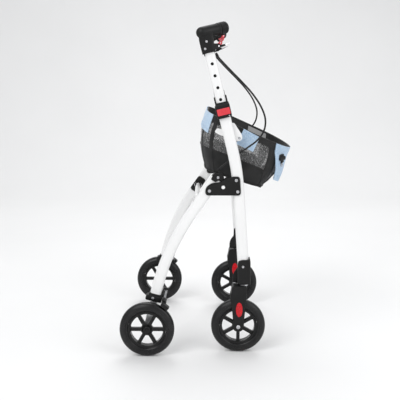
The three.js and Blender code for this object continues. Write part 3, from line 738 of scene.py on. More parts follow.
def make_rim(side, end, centre, turned):
    disc = plate([arc((0, 0), 48, 0, 355, 71)] + spoke_windows(), -5.8, 5.8, 1.1)
    band = [(44.6, -9), (46.0, -10.4), (48.6, -10.9), (50.6, -10.4), (52.1, -11.2)]
    barrel = lathe(band + mirrored(band), 96, closed=True)
    boss = [(4.3, -14), (9.5, -14), (11.2, -12.6), (12, -9), (HUB_RADIUS, -5)]
    hub = lathe(boss + mirrored(boss), 48, closed=True)
    rim = joined(disc, barrel, hub)
    moved(rim, turn(turned, "Y"))
    return place(rim, f"{end}_rim_skin", side, f"{end}_wheel", RIM_BLACK, [f"{end}_rim"], shift(*centre))


def make_wheels(side):
    make_tyre(side, "front", FRONT_WHEEL)
    make_tyre(side, "rear", REAR_WHEEL)
    make_rim(side, "front", FRONT_WHEEL, math.pi / 6)
    make_rim(side, "rear", REAR_WHEEL, 0)


# ---------------------------------------------------------------- frame tubes
def make_tubes(side):
    section = flat_oval(TUBE_WIDTH, TUBE_THICKNESS)
    top = BUTTON_AT + Vector((-math.sin(POST_LEAN), 0, math.cos(POST_LEAN))) * POST_OVER_BUTTON
    axis = bent_axis(top, POST_LEAN, POST_STRAIGHT, POST_BEND_RADIUS, POST_FOOT_LEAN, POST_FOOT_Z, 1)
    post = tube_along(axis, 1, section)
    place(post, "post_tube", side, "frame", PAINT, ["post"], sharp=50)
    start = LEG_TOP - Vector((math.sin(LEG_LEAN), 0, math.cos(LEG_LEAN))) * LEG_IN_CAP
    axis = bent_axis(start, LEG_LEAN, LEG_STRAIGHT - LEG_IN_CAP, LEG_BEND_RADIUS, LEG_FOOT_LEAN,
                     LEG_FOOT_Z, -1)
    leg = tube_along(axis, -1, section)
    place(leg, "leg_tube", side, "frame", PAINT, ["rear_leg"], sharp=50)


def make_height_tube(side):
    inner = flat_oval(HEIGHT_TUBE_WIDTH - 4, HEIGHT_TUBE_THICKNESS - 4)
    outer = flat_oval(HEIGHT_TUBE_WIDTH, HEIGHT_TUBE_THICKNESS)
    low, high = BUTTON_V - 20, 200
    loops = [[(a, b, z) for a, b in section] for section, z in ((outer, low), (outer, high),
                                                                (inner, high), (inner, low))]
    tube = rings(loops, closed=True)
    drills = []
    for i in range(5):
        drill = rod(HOLE_RADIUS, 0, 20, 32)
        drills.append(moved(drill, shift(0, 0, BUTTON_V + i * HOLE_PITCH)))
    tube = bevelled(cut(tube, *drills), 0.3, 2, 40)
    place(tube, "height_tube_skin", side, "handle", PAINT, ["height_tube"], COLUMN, 45)
    # Black cups close the four upper holes: painted shade, standing for the dark inside of the tube
    # behind them.
    shade_cups = []
    for i in range(1, 5):
        cup = lathe([(3.0, 0.1), (4.1, 0.1), (4.3, -0.1), (3.6, -0.1), (3.6, -3.4), (0.01, -3.4),
                     (0.01, -2.9), (3.0, -2.9)], 32, closed=True)
        shade_cups.append(moved(cup, shift(0, HEIGHT_TUBE_THICKNESS / 2, BUTTON_V + i * HOLE_PITCH)))
    lining = joined(*shade_cups)
    place(lining, "hole_shade_cups", side, "handle", BLACK, matrix=COLUMN)


# ---------------------------------------------------------------- collar and button
def make_collar(side):
    body = slab(rectangle(-20, 20, -20, 17, 5), -12.5, 16, 3.2)
    shoulder = slab([(-19, 10, 2), (19.6, 10, 2), (18.6, 22, 4), (-16.5, 22, 4)], -10.5, 12, 2.5)
    front = slab([(14, 10, 1), (17.4, 10, 1), (17.2, 38, 1.5), (14, 39.5, 1)], -4.5, 4.5, 1.2)
    rear = slab([(-17.4, 10, 1), (-14, 10, 1), (-14, 39.5, 1), (-17.2, 38, 1.5)], -4.5, 4.5, 1.2)
    shell = fused(joined(body, shoulder, front, rear), 0.8, 3)
    post_bore = oval_bar(TUBE_WIDTH + BORE_ROOM, TUBE_THICKNESS + BORE_ROOM, -22, 12.4)
    tube_bore = oval_bar(HEIGHT_TUBE_WIDTH + BORE_ROOM, HEIGHT_TUBE_THICKNESS + BORE_ROOM, 5, 42)
    window = slab(rectangle(-17.2, 18.2, -12.4, 6.4, 2), 9.4, 20, 0.01)
    shell = cut(shell, post_bore, tube_bore, window)
    place(shell, "collar_skin", side, "frame", BLACK, ["collar"], COLUMN, 40)
    bolts("collar_screw", [(13, -16.3)], 1.8, 0.9, 15.8, side, matrix=COLUMN)


def make_button(side):
    face = slab(rectangle(-16.8, 17.8, -11.9, 5.9, 2), 12.8, 17.2, 1.2)
    ribs = [slab(rectangle(-9, 10, z, z + 1, 0.4), 16.8, 17.7, 0.35) for z in (-7, -4.5, -2, 0.5)]
    place(joined(face, *ribs), "button_skin", side, "button", RED, ["height_button"], COLUMN)


# ---------------------------------------------------------------- handle
def barrel_profile(radius, start, end, steps=8):
    profile = [(0.01, start)]
    for i in range(1, steps + 1):
        a = math.pi / 2 * i / steps
        profile.append((radius * math.sin(a), start + radius - radius * math.cos(a)))
    return profile + [(radius, end), (0.01, end)]


ALONG_X = turn(-math.pi / 2, "Z")  # turns a lathe's own Y axis to point along +X


def make_housing(side):
    sleeve = slab([(-19.4, HOUSING_V, 1), (16.3, HOUSING_V, 1), (17.6, GRIP_V - 24, 6),
                   (20, GRIP_V - 2, 6), (-14, GRIP_V + 10, 12), (-20, GRIP_V - 16, 10)], -12.5, 12.5, 7)
    barrel = moved(lathe(barrel_profile(15.5, -24, BARREL_LENGTH)), ALONG_X)
    collar = moved(lathe([(14, 37), (16.3, 38), (16.6, 41), (16.2, BARREL_LENGTH), (12, BARREL_LENGTH)],
                         closed=True), ALONG_X)
    along = TOE_IN @ shift(0, 0, GRIP_V)
    moved(barrel, along)
    moved(collar, along)
    x, v = LEVER_PIVOT
    ears = []
    for y0, y1 in ((-8, -4.4), (4.4, 8)):
        ear = slab([(8, v - 6.5, 1), (x + 6, v - 6.5, 5), (x + 6, v + 6, 5), (18, v + 9, 4),
                    (8, v + 12, 1)], y0, y1, 0.8)
        ears.append(moved(ear, TOE_IN))
    cx, cv = CATCH_PIVOT
    hanger = slab([(36, cv + 10), (36, cv + 1, 2), (40, cv - 2, 1), (cx + 3, cv - 2, 2),
                   (cx + 3, cv + 3.4, 1), (43.5, cv + 3.4), (43.5, cv + 10)], -1.7, 1.7, 0.3)
    moved(hanger, TOE_IN)
    web = slab([(8, HOUSING_V + 25), (17, HOUSING_V + 25, 3), (20, GRIP_V - 20, 6), (34, GRIP_V - 12, 4),
                (30, GRIP_V - 4), (8, GRIP_V - 4)], -2.2, 2.2, 1)
    moved(web, TOE_IN)
    shell = fused(joined(sleeve, barrel, collar, *ears, hanger, web), 0.75, 4)
    bore = oval_bar(HEIGHT_TUBE_WIDTH + BORE_ROOM, HEIGHT_TUBE_THICKNESS + BORE_ROOM, 148, 200.5)
    gap = moved(plate([[(18, 158), (40, 158), (40, 174), (18, 174)]], -4.4, 4.4, 0.01), TOE_IN)
    shell = cut(shell, bore, gap)
    place(shell, "handle_shell", side, "handle", BLACK, ["handle_housing"], COLUMN, 40)
    bolts("handle_screws", [(-1, 184.3), (-9, 166.8)], 3.1, 1.2, 12.2, side, "handle", matrix=COLUMN)
    end = [(0.01, -9), (2.2, -9), (2.4, -8.4)]
    pin = moved(lathe(end + mirrored(end), 24), TOE_IN @ shift(x, 0, v))
    place(pin, "lever_pin", side, "handle", STEEL, matrix=COLUMN)
    catch_pin = moved(rod(1.2, -5.6, 5.6, 16), TOE_IN @ shift(cx, 0, cv))
    place(catch_pin, "catch_pin", side, "catch", STEEL, matrix=COLUMN)


def make_grip(side):
    radius = 16.5
    profile = [(0.01, BARREL_LENGTH + 0.5), (radius - 1.4, BARREL_LENGTH + 0.5),
               (radius - 0.3, BARREL_LENGTH + 1.2), (radius, BARREL_LENGTH + 2.4)]
    for i in range(3):
        start = BARREL_LENGTH + 4 + i * 3.6
        profile += [(radius, start), (radius - 0.3, start + 0.4), (radius - 0.3, start + 1.2),
                    (radius, start + 1.6)]
    round_by = 8
    for i in range(9):
        a = math.pi / 2 * i / 8
        profile.append((radius - round_by + round_by * math.cos(a),
                        GRIP_END - round_by + round_by * math.sin(a)))
    profile += [(4, GRIP_END), (3.2, GRIP_END - 0.7), (0.01, GRIP_END - 0.7)]
    grip = moved(lathe(profile, 80), TOE_IN @ shift(0, 0, GRIP_V) @ ALONG_X)
    place(grip, "grip_rubber", side, "handle", GRIP, ["grip"], COLUMN, 45)


def make_lever(side):
    x, v = LEVER_PIVOT
    blade = slab([(x - 4, v - 4, 3), (x + 8, v - 4.6, 2), (50, v - 3, 6), (64.5, v + 0.4, 1.6),
                  (64.8, v + 2.9, 1.2), (50, v + 1.6, 6), (x + 8, v + 2.7, 2), (x - 4, v + 4, 3)], -4, 4,
                 1.2)
    wing = slab([(x + 8, v - 3.8, 1), (50, v - 2.4, 6), (65, v + 0.8, 0.8), (64.8, v + 2.9, 0.8),
                 (50, v + 1.5, 6), (x + 8, v + 2.5, 1)], -5.5, 5.5, 1.6)
    lever = moved(joined(blade, wing), TOE_IN)
    place(lever, "lever_blade", side, "lever", BLACK, ["brake_lever"], COLUMN)
    # The grey metal tip is partly the lever's own metal and partly painted highlight: light caught on the
    # lever's upper face near its end.
    highlight_tip = slab([(50, v - 2.6, 2), (64.8, v + 0.2, 1.4), (65.2, v + 3, 1.2), (50, v + 1.7, 5),
                (45.5, v + 0.6, 2)], -5.7, 5.7, 1.2)
    place(moved(highlight_tip, TOE_IN), "lever_highlight_tip", side, "lever", ALUMINIUM, matrix=COLUMN)


def make_catch(side):
    x, v = CATCH_PIVOT
    outline = rounded([(x - 12.6, v - 4.6, 1), (x - 11.8, v - 7.4, 1), (x - 8.6, v - 7, 1),
                       (x - 3.4, v - 12.2, 1.2), (x - 0.9, v - 11.6, 1.2), (x + 2.2, v - 4, 3),
                       (x + 5.6, v + 1.4, 1.4), (x + 3.6, v + 2.4, 1.4), (x - 3, v + 2.2, 2),
                       (x - 5, v - 2.6, 2)])
    opening = rounded([(x - 7.2, v - 5.9, 0.8), (x - 2.5, v - 10.6, 0.8), (x + 0.5, v - 3.6, 0.8),
                       (x - 3.6, v - 3.6, 0.8)])
    catch = plate([outline, opening], -3.7, 3.7, 0.6)
    slot = plate([[(x - 14, v - 3.8), (x + 8, v - 3.8), (x + 8, v + 4), (x - 14, v + 4)]], -2, 2, 0.01)
    place(moved(cut(catch, slot), TOE_IN), "catch_skin", side, "catch", RED, ["parking_catch"], COLUMN)


# ---------------------------------------------------------------- joint plates, caps and lugs
PLATE_OUTLINE = [(-6, 440.5, 12), (91, 440.5, 10), (88, 492, 10), (70, 492, 6), (58, 489, 6),
                 (50, 487.5, 4), (43, 480.5, 5), (30, 475.5, 8), (14, 475.5, 8), (-4, 464, 10)]
PLATE_BOLTS = [(6, 453), (78, 482), (82, 451)]
INNER_LAYER = (-13.3, -9.3)  # of the flat parts against the inside of the tubes
EAR_ROOT_Y = -12  # inside the plate or lug that the ears grow from


def make_outer_plate(side):
    body = slab(PLATE_OUTLINE, 9.3, 12.4, 1)
    raised = slab([(-1, 445, 9), (86, 445, 7), (83, 486, 8), (56, 483, 8), (42, 474, 8), (0, 461, 8)], 12,
                  13.2, 0.6)
    place(joined(body, raised), "outer_plate_skin", side, "frame", BLACK, ["outer_plate"])
    bolts("plate_bolts", PLATE_BOLTS, 4.2, 2.1, 13.1, side)
    disc = lathe([(0.01, 0), (4.9, 0), (4.9, 0.9), (4.1, 1.7), (0.01, 2.1)], 40)
    place(moved(disc, shift(43, 13.1, 463)), "plate_rivet", side, "frame", PAINT)


def brace_ears(pivot):
    """Two rounded ears, square to X, that hold a brace's end."""
    pivot_y = BRACE_PIVOT_Y - FRAME_Y
    root = EAR_ROOT_Y - pivot_y
    ears = []
    for centre in (-7.8, 7.8):
        outline = arc((0, 0), 8.5, 90, 270, 10) + [(root, -8.5), (root, 8.5)]
        ear = plate([outline], -2, 2, 0.7)
        # the outline's x becomes y outward and its thickness lies along X
        moved(ear, turn(math.pi / 2, "Z"))
        ears.append(moved(ear, shift(pivot.x + centre, pivot_y, pivot.z)))
    return ears


def make_inner_plate(side):
    body = slab(PLATE_OUTLINE, *INNER_LAYER, 1)
    ears = brace_ears(FRONT_BRACE)
    place(joined(body, *ears), "inner_plate_skin", side, "frame", BLACK, ["inner_plate"])
    bolts("inner_bolts", PLATE_BOLTS, 4.2, 2, -13.2, side, out=-1)
    brace_pin(side, FRONT_BRACE, "front_brace_pin")


def headed_pin(shank, head, grip):
    """A pin with a low head at each end of its grip."""
    half = [(shank, grip), (head, grip + 0.1), (head, 11), (head - 0.8, 11.6), (0.01, 11.6)]
    return lathe(mirrored(half) + half, 24)


def brace_pin(side, pivot, name):
    pin = headed_pin(3, 4.2, 10)
    moved(pin, shift(pivot.x, BRACE_PIVOT_Y - FRAME_Y, pivot.z) @ turn(math.pi / 2, "Z"))
    place(pin, name, side, "frame", STEEL)


def make_rear_lug(side):
    base = slab(rectangle(-14, 14, -26, 26, 8), *INNER_LAYER, 1.2)
    pad = slab(rectangle(-9, 9, -21, 21, 6), -14, -13, 0.6)
    lean = shift(REAR_BRACE.x, 0, REAR_BRACE.z) @ turn(LEG_LEAN, "Y")
    moved(base, lean)
    moved(pad, lean)
    ears = brace_ears(REAR_BRACE)
    place(joined(base, pad, *ears), "rear_lug_skin", side, "frame", BLACK, ["rear_brace_lug"])
    spots = [(0, -18), (0, 18)]
    bolts("rear_lug_bolts", spots, 3.4, 1.2, -13.9, side, "frame", BLACK, PLANE @ lean, -1)
    brace_pin(side, REAR_BRACE, "rear_brace_pin")


def make_leg_cap(side):
    top = [(15.5, 497, 5), (21, 502, 4), (27, 499.5, 3), (34, 503.5, 5), (41, 499, 4), (45, 491, 5)]
    plug = slab([(12.2, 494.4), *top, (45, 482.5, 2), (37.6, 477.2)], -9, 9, 1.5)
    neck = slab([(17, 493), *top[1:], (45, 488.2), (30, 487)], 8, 12.6, 1)
    face = slab([(9.8, 484, 3), *top, (45.2, 487.8, 2), (22, 476.8, 3)], 9.3, 12.8, 1)
    socket = slab([(17, 493, 2), (29, 493, 2), (29, 499.5, 1.5), (17, 499.5, 1.5)], -20.3, -8.5, 1)
    place(joined(plug, neck, face, socket), "leg_cap_skin", side, "frame", BLACK, ["leg_cap"])
    bolts("cap_bolt", [(29, 489.5)], 3.6, 1.8, 12.7, side)


def make_bag_bracket(side):
    outline = rounded([(19, 610, 4), (34, 601, 3), (72, 592, 4), (80, 584, 5), (93, 588, 7), (94, 600, 6),
                       (72, 634, 4), (64, 634, 3), (58, 612, 5), (26, 620, 5)])
    hole = arc((86, 593), 3.4, 0, 345, 23)
    body = plate([outline, hole], *INNER_LAYER, 0.9)
    place(body, "bag_bracket_skin", side, "frame", PAINT, ["bag_bracket"])
    hook = round_sweep(smooth_path([(86, -44, 600), (86, -41, 594), (86, -36, 593), (86, -24, 593),
                                    (86, -10, 593), (86, -7.7, 593)]), 2.6)
    place(hook, "bag_hook", side, "frame", STEEL)
    bolts("bracket_bolt", [(63, 612)], 4, 2, -13.2, side, out=-1)


# ---------------------------------------------------------------- brake at the leg's foot
def make_brake_bracket(side):
    block_outline = rounded([(-25, -8, 4), (-6, -8, 2), (-4, -9, 2), (20, -8, 3), (20, 7.5, 3),
                             (-17, 8.2, 4), (-25, 5, 4)])
    body = plate([block_outline], -12.5, 13, 2)
    post = slab([(16.2, -2), (20, -2), (20, 30, 1), (31, 31, 2), (31, 36, 2), (16.2, 36, 3)], -5, 6, 1)
    strap = slab([(-18.5, 4, 2), (18.5, 4, 2), (18.2, 13, 3), (-18.2, 13, 3)], -11.4, 11.6, 2)
    shell = joined(body, post)
    place(shell, "brake_bracket_skin", side, "frame", BLACK, ["brake_bracket"], ANKLE_FRAME)
    bore = oval_bar(TUBE_WIDTH + 0.5, TUBE_THICKNESS + 0.5, 8.4, 20)
    place(cut(strap, bore), "leg_foot_clamp", side, "frame", BLACK, matrix=ANKLE_FRAME)
    bolts("ankle_bolt", [(-5, 0.5)], 4, 1.8, 12.8, side, matrix=ANKLE_FRAME)
    bolts("ankle_inner_bolt", [(-5, 0.5)], 4, 1.8, -12.3, side, matrix=ANKLE_FRAME, out=-1)


def make_brake_arm(side):
    x, z = BRAKE_PIVOT
    arm = slab([(x - 1.2, z - 6, 2), (x + 12, z - 6, 3), (x + 12, z + 1, 3), (x + 8, z + 4.5, 3),
                (x - 1.2, z + 4.5, 2)], -4, 30, 1.2)
    inner = arc((0, 0), 77.5, 59, 75, 10)
    outer = arc((0, 0), 86.3, 75, 59, 10)
    pad = moved(plate([inner + outer], 29, 51, 1.2), shift(0, 0, -ANKLE_TO_AXLE))
    ribs = []
    for angle in (61.5, 65.3, 69, 72.6):
        low = arc((0, 0), 77.4, angle - 0.5, angle + 0.5, 1)
        high = arc((0, 0), 78.6, angle + 0.5, angle - 0.5, 1)
        ribs.append(moved(plate([low + high], 30.2, 49.8, 0.2), shift(0, 0, -ANKLE_TO_AXLE)))
    place(joined(arm, pad, *ribs), "brake_arm_skin", side, "brake", BLACK, ["brake_arm"], ANKLE_FRAME)
    pin = rod(2.6, -5.6, 5, 20)
    place(moved(pin, shift(x, 0, z)), "brake_pin", side, "brake", STEEL, matrix=ANKLE_FRAME)


def make_brake_spring(side):
    x, z = BRAKE_PIVOT
    low, high = z + 5.4, 30.4
    coils, per_coil = 7, 16
    path = []
    for i in range(coils * per_coil + 1):
        a = 2 * math.pi * i / per_coil
        rise = low + (high - low) * i / (coils * per_coil)
        path.append(Vector((x + 5 + 2.9 * math.cos(a), 0.5 + 2.9 * math.sin(a), rise)))
    spring = round_sweep(path, 0.55, 8)
    place(spring, "spring_coil", side, "frame", STEEL, ["brake_spring"], ANKLE_FRAME, 60)
    wire = moved(rod(1.4, 5, 37.5, 20), shift(x + 5, 0.5, 0) @ turn(math.pi / 2, "X"))
    place(wire, "brake_rod", side, "frame", STEEL, matrix=ANKLE_FRAME)


def make_strut(side):
    eye = arc((0, -ANKLE_TO_AXLE), 11, 180, 360, 20)
    outline = eye + [(10, -20), (10, -8.3), (-10, -8.3), (-10, -20)]
    hole = arc((0, -ANKLE_TO_AXLE), 4.3, 0, 350, 30)
    strut = plate([outline, hole], 3, 11, 1)
    place(strut, "axle_strut_skin", side, "frame", ALUMINIUM, ["axle_strut"], ANKLE_FRAME)
    inner, outer = REAR_WHEEL.y - 14, REAR_WHEEL.y + 14
    profile = [(0.01, 219.7), (6.2, 219.7), (7, 220.5), (7, 222.7), (4, 222.7), (4, 231.3), (6, 231.3),
               (6, inner - 0.3), (4, inner - 0.3), (0.01, outer + 0.3)]
    axle = lathe(profile, 36)
    at_axle = shift(REAR_WHEEL.x, 0, REAR_WHEEL.z)
    place(axle, "rear_axle_pin", side, "frame", STEEL, ["rear_axle"], at_axle)
    cap = lathe([(0.01, outer + 0.35), (5.6, outer + 0.35), (5.9, outer + 0.9), (5.4, outer + 1.8),
                 (3.4, outer + 2.2), (3.0, outer + 1.6), (0.01, outer + 1.6)], 36)
    place(cap, "rear_hub_cap", side, "frame", BLACK, matrix=at_axle)


# ---------------------------------------------------------------- caster
SEAM_Z = 193
STEM_X = 101


def make_caster_housing(side):
    outline = rounded([(84, SEAM_Z, 2), (119, SEAM_Z, 2), (119.3, 225, 6), (118.6, 258, 2),
                       (116.4, 267.6, 2), (113.4, 264, 2), (109, 262.3, 3), (95, 262.6, 8), (84, 258, 9),
                       (84, 240, 4)])
    shell = plate([outline], -15, 15, 3.4)
    fin_outline = rounded([(69.8, SEAM_Z, 2), (94, SEAM_Z), (94, 259, 3), (88.6, 259, 1.5),
                           (86.5, 240, 9), (70.4, 218, 12)], 10)
    fin = plate([fin_outline], -14.8, -10, 1.6)
    ridge = slab([(87.5, SEAM_Z + 4, 3), (115.6, SEAM_Z + 4, 3), (115.2, 254, 5), (88, 252, 7)], 14.2,
                 15.2, 0.9)
    body = fused(joined(shell, fin, ridge), 0.9, 2)
    foot = bent_axis(Vector((96.7, 0, 280)), POST_FOOT_LEAN, 1, 1, POST_FOOT_LEAN - 1e-4, 213, 1, 2)
    socket = tube_along(foot, 1, flat_oval(TUBE_WIDTH + 0.8, TUBE_THICKNESS + 0.8))
    body = cut(body, socket)
    place(body, "caster_housing_skin", side, "frame", BLACK, ["caster_housing"], sharp=42)
    bolts("housing_screw", [(98, 244)], 3.4, 1.6, 15, side)
    bolts("housing_inner_screw", [(104, 236)], 3.4, 1.6, -14.9, side, out=-1)


def oval(centre, wide, tall, steps=36):
    return [(centre[0] + wide / 2 * math.cos(a), centre[1] + tall / 2 * math.sin(a))
            for a in turns(steps)]


def make_fork(side):
    x = FRONT_WHEEL.x
    arm_outline = rounded([(x - 17, 190, 6), (x + 23, 190, 6), (x + 23.5, 168, 6), (x + 21, 148, 12),
                           (x + 17, 100, 16), (x + 13, 61, 12), (x - 13, 61, 12), (x - 15, 104, 16),
                           (x - 20, 140, 12), (x - 23.5, 157, 8), (x - 19, 176, 6)])
    arms = [plate([arm_outline], 15.6, 20.8, 1.8), plate([arm_outline], -20.8, -15.6, 1.8)]
    crown_outline = rounded([(x - 17, 190.3, 6), (x + 23, 190.3, 6), (x + 23, 168, 4), (x + 19, 154.5, 3),
                             (x - 21, 154.5, 3), (x - 20, 172, 5)])
    crown = plate([crown_outline], -20, 20, 2)
    body = fused(joined(crown, *arms), 0.9, 3)
    wheel_room = rod(77.6, -15.4, 15.4, 96)
    bore = rod(4.3, -30, 30, 32)
    body = cut(body, moved(wheel_room, shift(x, 0, FRONT_WHEEL.z)),
               moved(bore, shift(x, 0, FRONT_WHEEL.z)))
    place(body, "fork_skin", side, "caster", BLACK, ["caster_fork"], sharp=42)
    for name, y0, y1 in (("outer_reflector", 20.2, 21.4), ("inner_reflector", -21.4, -20.2)):
        lens = plate([oval((x + 2.5, 124), 18.5, 41)], y0, y1, 0.55)
        place(lens, name, side, "caster", REFLECTOR)
        border = plate([oval((x + 2.5, 124), 22, 44.5), oval((x + 2.5, 124), 18.9, 41.4)],
                       y0 - 0.5 if y0 > 0 else y0 + 0.4, y1 - 0.4 if y0 > 0 else y1 + 0.5, 0.4)
        place(border, name + "_border", side, "caster", BLACK)
    profile = [(0.01, -1.3), (12, -1.3), (12, 1.3), (6.2, 1.6), (6.2, 1.7), (0.01, 1.7)]
    washer = moved(lathe(profile, 48), shift(STEM_X, 0, SEAM_Z - 1.7) @ turn(math.pi / 2, "X"))
    place(washer, "stem_washer", side, "caster", STEEL)
    stem = moved(rod(5.5, -10, 2, 32), shift(STEM_X, 0, SEAM_Z - 1) @ turn(math.pi / 2, "X"))
    place(stem, "caster_stem", side, "caster", STEEL)
    end = [(4, 21.2), (4.9, 21.2), (5.4, 21.7), (5.4, 23.2), (4.4, 24.1), (0.01, 24.1)]
    axle = lathe(mirrored(end) + end, 36)
    key = rod(2.7, 22.6, 26, 6)
    axle = cut(axle, key)
    place(axle, "front_axle_bolt", side, "caster", STEEL, ["front_axle"],
          shift(x, FRAME_Y, FRONT_WHEEL.z))


# ---------------------------------------------------------------- brake cables
CABLE_ROUTE = [(21, 216, 817), (34, 215, 801), (63, 214, 771), (92, 213, 742), (120, 212, 711),
               (143, 210, 677), (155, 208, 643), (151, 206, 611), (133, 205, 586), (108, 205, 567),
               (82, 204.5, 549), (55, 204, 528.5), (35, 204, 512.5), (26, 204.5, 503)]


def make_cable(side):
    """The cable curves from the handle down to the frame. Its sheath rides no body; its end ferrules ride
    the handle and the frame.
    """
    path = smooth_path(CABLE_ROUTE, 8)
    cable = round_sweep(path, 2.45, 16)
    place(cable, "cable_sheath", side, None, CABLE, ["brake_cable"], Matrix.Identity(4), 60)
    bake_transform(cable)
    ends = ((CABLE_ROUTE[0], CABLE_ROUTE[1], "handle", "upper_ferrule"),
            (CABLE_ROUTE[-1], CABLE_ROUTE[-2], "frame", "lower_ferrule"))
    for here, beyond, body, name in ends:
        along = (Vector(beyond) - Vector(here)).normalized()
        spin = Vector((0, 1, 0)).rotation_difference(along).to_matrix().to_4x4()
        profile = [(2.5, 0), (3.9, 0), (4.1, 1), (4.1, 6), (3.4, 7), (3.4, 9.5), (3.0, 11), (2.5, 11.4)]
        sleeve = lathe(profile, 28, closed=True)
        place(sleeve, name, side, body, BLACK, matrix=Matrix.Translation(here) @ spin)


# ---------------------------------------------------------------- cross braces
def brace_link(forked):
    """A tube along +X from its side's pivot to the knee, flattened at its ends."""
    knee = BRACE_PIVOT_Y / math.cos(BRACE_DROOP)

    def section(x, half_wide, half_tall, power):
        loop = []
        for a in turns(32):
            c, s = math.cos(a), math.sin(a)
            loop.append((x, half_wide * math.copysign(abs(c) ** power, c),
                         half_tall * math.copysign(abs(s) ** power, s)))
        return loop

    stations = [(-6.6, 5.2, 2.2, 0.5), (-5, 5.4, 4.6, 0.5), (0, 5.4, 6.6, 0.5), (8, 5.4, 6.4, 0.5),
                (16, 5.6, 6.2, 0.6), (22, 6.8, 7.2, 0.8), (27, 8, 8, 1), (knee - 42, 8, 8, 1)]
    if forked:
        stations += [(knee - 34, 8.2, 7.4, 0.9), (knee - 30, 9.6, 6.5, 0.5), (knee - 21, 9.6, 6.4, 0.5)]
    else:
        stations += [(knee - 34, 6.8, 7.2, 0.8), (knee - 28, 5.5, 6, 0.6), (knee - 10, 5.3, 5.6, 0.5),
                     (knee, 5.3, 6.6, 0.5), (knee + 5, 5.3, 4.6, 0.5), (knee + 6.6, 5.2, 2.2, 0.5)]
    body = rings([section(*station) for station in stations])
    if not forked:
        return body
    cheeks = []
    for y0, y1 in ((-9.7, -5.9), (5.9, 9.7)):
        outline = arc((knee, 0), 7, -90, 90, 12) + [(knee - 27, 6.4), (knee - 27, -6.4)]
        cheeks.append(plate([outline], y0, y1, 0.8))
    return joined(body, *cheeks)


def make_brace(name, pivot):
    for side in (RIGHT, LEFT):
        made = brace_link(side == RIGHT)
        # from the side's pivot toward the middle, drooping to the knee
        moved(made, turn(BRACE_DROOP, "Y"))
        moved(made, turn(-side * math.pi / 2, "Z"))
        moved(made, shift(pivot.x, side * BRACE_PIVOT_Y, pivot.z))
        label = f"{SIDE_NAME[side]}_{name}"
        place(made, f"{label}_link_skin", None, f"{label}_brace", PAINT, [f"{label}_link"],
              Matrix.Identity(4), 45)
    drop = BRACE_PIVOT_Y * math.tan(BRACE_DROOP)
    pin = headed_pin(2.8, 4, 9.8)
    moved(pin, shift(pivot.x, 0, pivot.z - drop) @ turn(math.pi / 2, "Z"))
    place(pin, f"{name}_knee_pin", None, f"right_{name}_brace", STEEL, matrix=Matrix.Identity(4))


# ---------------------------------------------------------------- bag
BAG_FRONT = 239
BAG_CORNER = 200
RIM_HALF = 184
FLOOR_HALF = 150
AROUND = 160  # steps of a line all the way round
WALL_SAG = 2.4
REAR_SAG = 2.2
FRONT_SAG = 3.0
FLAP_SAG = 1.6
NET_TOP = 0.93
DENIM_TOP = 1.015


def lerp(a, b, t):
    return a + (b - a) * t


def round_the_square(share):
    """A point of a rounded square, a share of the way round: front, right, rear, left."""
    share %= 1
    part = int(share * 4) % 4
    along = 2 * (share * 4 - part) - 1
    sx, sy = ((1, -along), (-along, -1), (-1, along), (along, 1))[part]
    size = (abs(sx) ** 5 + abs(sy) ** 5) ** 0.2
    return sx / size, sy / size


def bag_point(share, height, out=0.0, reach=1.0):
    """A point of the bag's wall. out moves it outward, in millimetres."""
    px, py = round_the_square(share)
    level = min(max(height, 0), 1)
    belly = math.sin(math.pi * level)
    back = lerp(-8, -1, level) - 15 * belly
    corner = lerp(153, BAG_CORNER, 1 - (1 - level) ** 2.5)
    bow = lerp(5, BAG_FRONT - BAG_CORNER, level ** 1.5) * (1 - py * py)
    half = lerp(FLOOR_HALF, RIM_HALF, level ** 0.6)
    front = corner + (bow if px > 0 else 0)
    mid = (back + corner) / 2
    size = math.hypot(px, py)
    x = mid + reach * px * (front - mid if px > 0 else mid - back) + out * px / size
    y = reach * py * half + out * py / size
    floor_z = 497 - 0.323 * x
    return Vector((x, y, lerp(floor_z, rim_height(x), height)))


def rim_height(x):
    return 658.7 - 0.45 * x


def slack(point, amount):
    """How far the cloth stands off its even shape: soft creases and sags."""
    broad = noise.noise(point * 0.016 + Vector((3, 7, 1)))
    fine = noise.noise(point * 0.05 + Vector((11, 2, 5)))
    return amount * (broad + 0.45 * fine)


def settled(share, height, out, sag):
    """A point of the sagging cloth, which the seams at its foot and rim hold nearer its shape."""
    held = min(1, 6 * min(height, 1.02 - height) + 0.25)
    return bag_point(share, height, out + slack(bag_point(share, height), sag) * held)


def cloth(shares, heights, out, thickness, sag):
    """A sheet on the bag's wall between two shares and two heights, which may be functions."""
    columns = max(8, int(abs(shares[1] - shares[0]) * 200))
    span = abs(heights(0.5)[1] - heights(0.5)[0])
    rows = max(4, int(span * 44))
    points, faces = [], []
    for layer in (out, out - thickness):
        for i in range(columns + 1):
            share = lerp(shares[0], shares[1], i / columns)
            low, high = heights(i / columns)
            for j in range(rows + 1):
                points.append(settled(share, lerp(low, high, j / rows), layer, sag))
    per = rows + 1
    sheet = (columns + 1) * per
    for i in range(columns):
        for j in range(rows):
            a = i * per + j
            faces.append((a, a + per, a + per + 1, a + 1))
            b = a + sheet
            faces.append((b, b + 1, b + per + 1, b + per))
    border = [i * per for i in range(columns + 1)]
    border += [columns * per + j for j in range(1, per)]
    border += [i * per + rows for i in reversed(range(columns))]
    border += [j for j in reversed(range(1, rows))]
    for a, b in zip(border, border[1:] + border[:1]):
        faces.append((a, a + sheet, b + sheet, b))
    return from_faces(points, faces)


def bag_piece(made, name, material, sharp=50, stands_for=()):
    """A soft piece of the bag, which rides with the right-hand frame."""
    place(made, name, None, "right_frame", material, stands_for, Matrix.Identity(4), sharp, "bag_fabric")
    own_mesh(made)
    return made


def piping(points, radius=1.9):
    return round_sweep([Vector(p) for p in points], radius, 10)


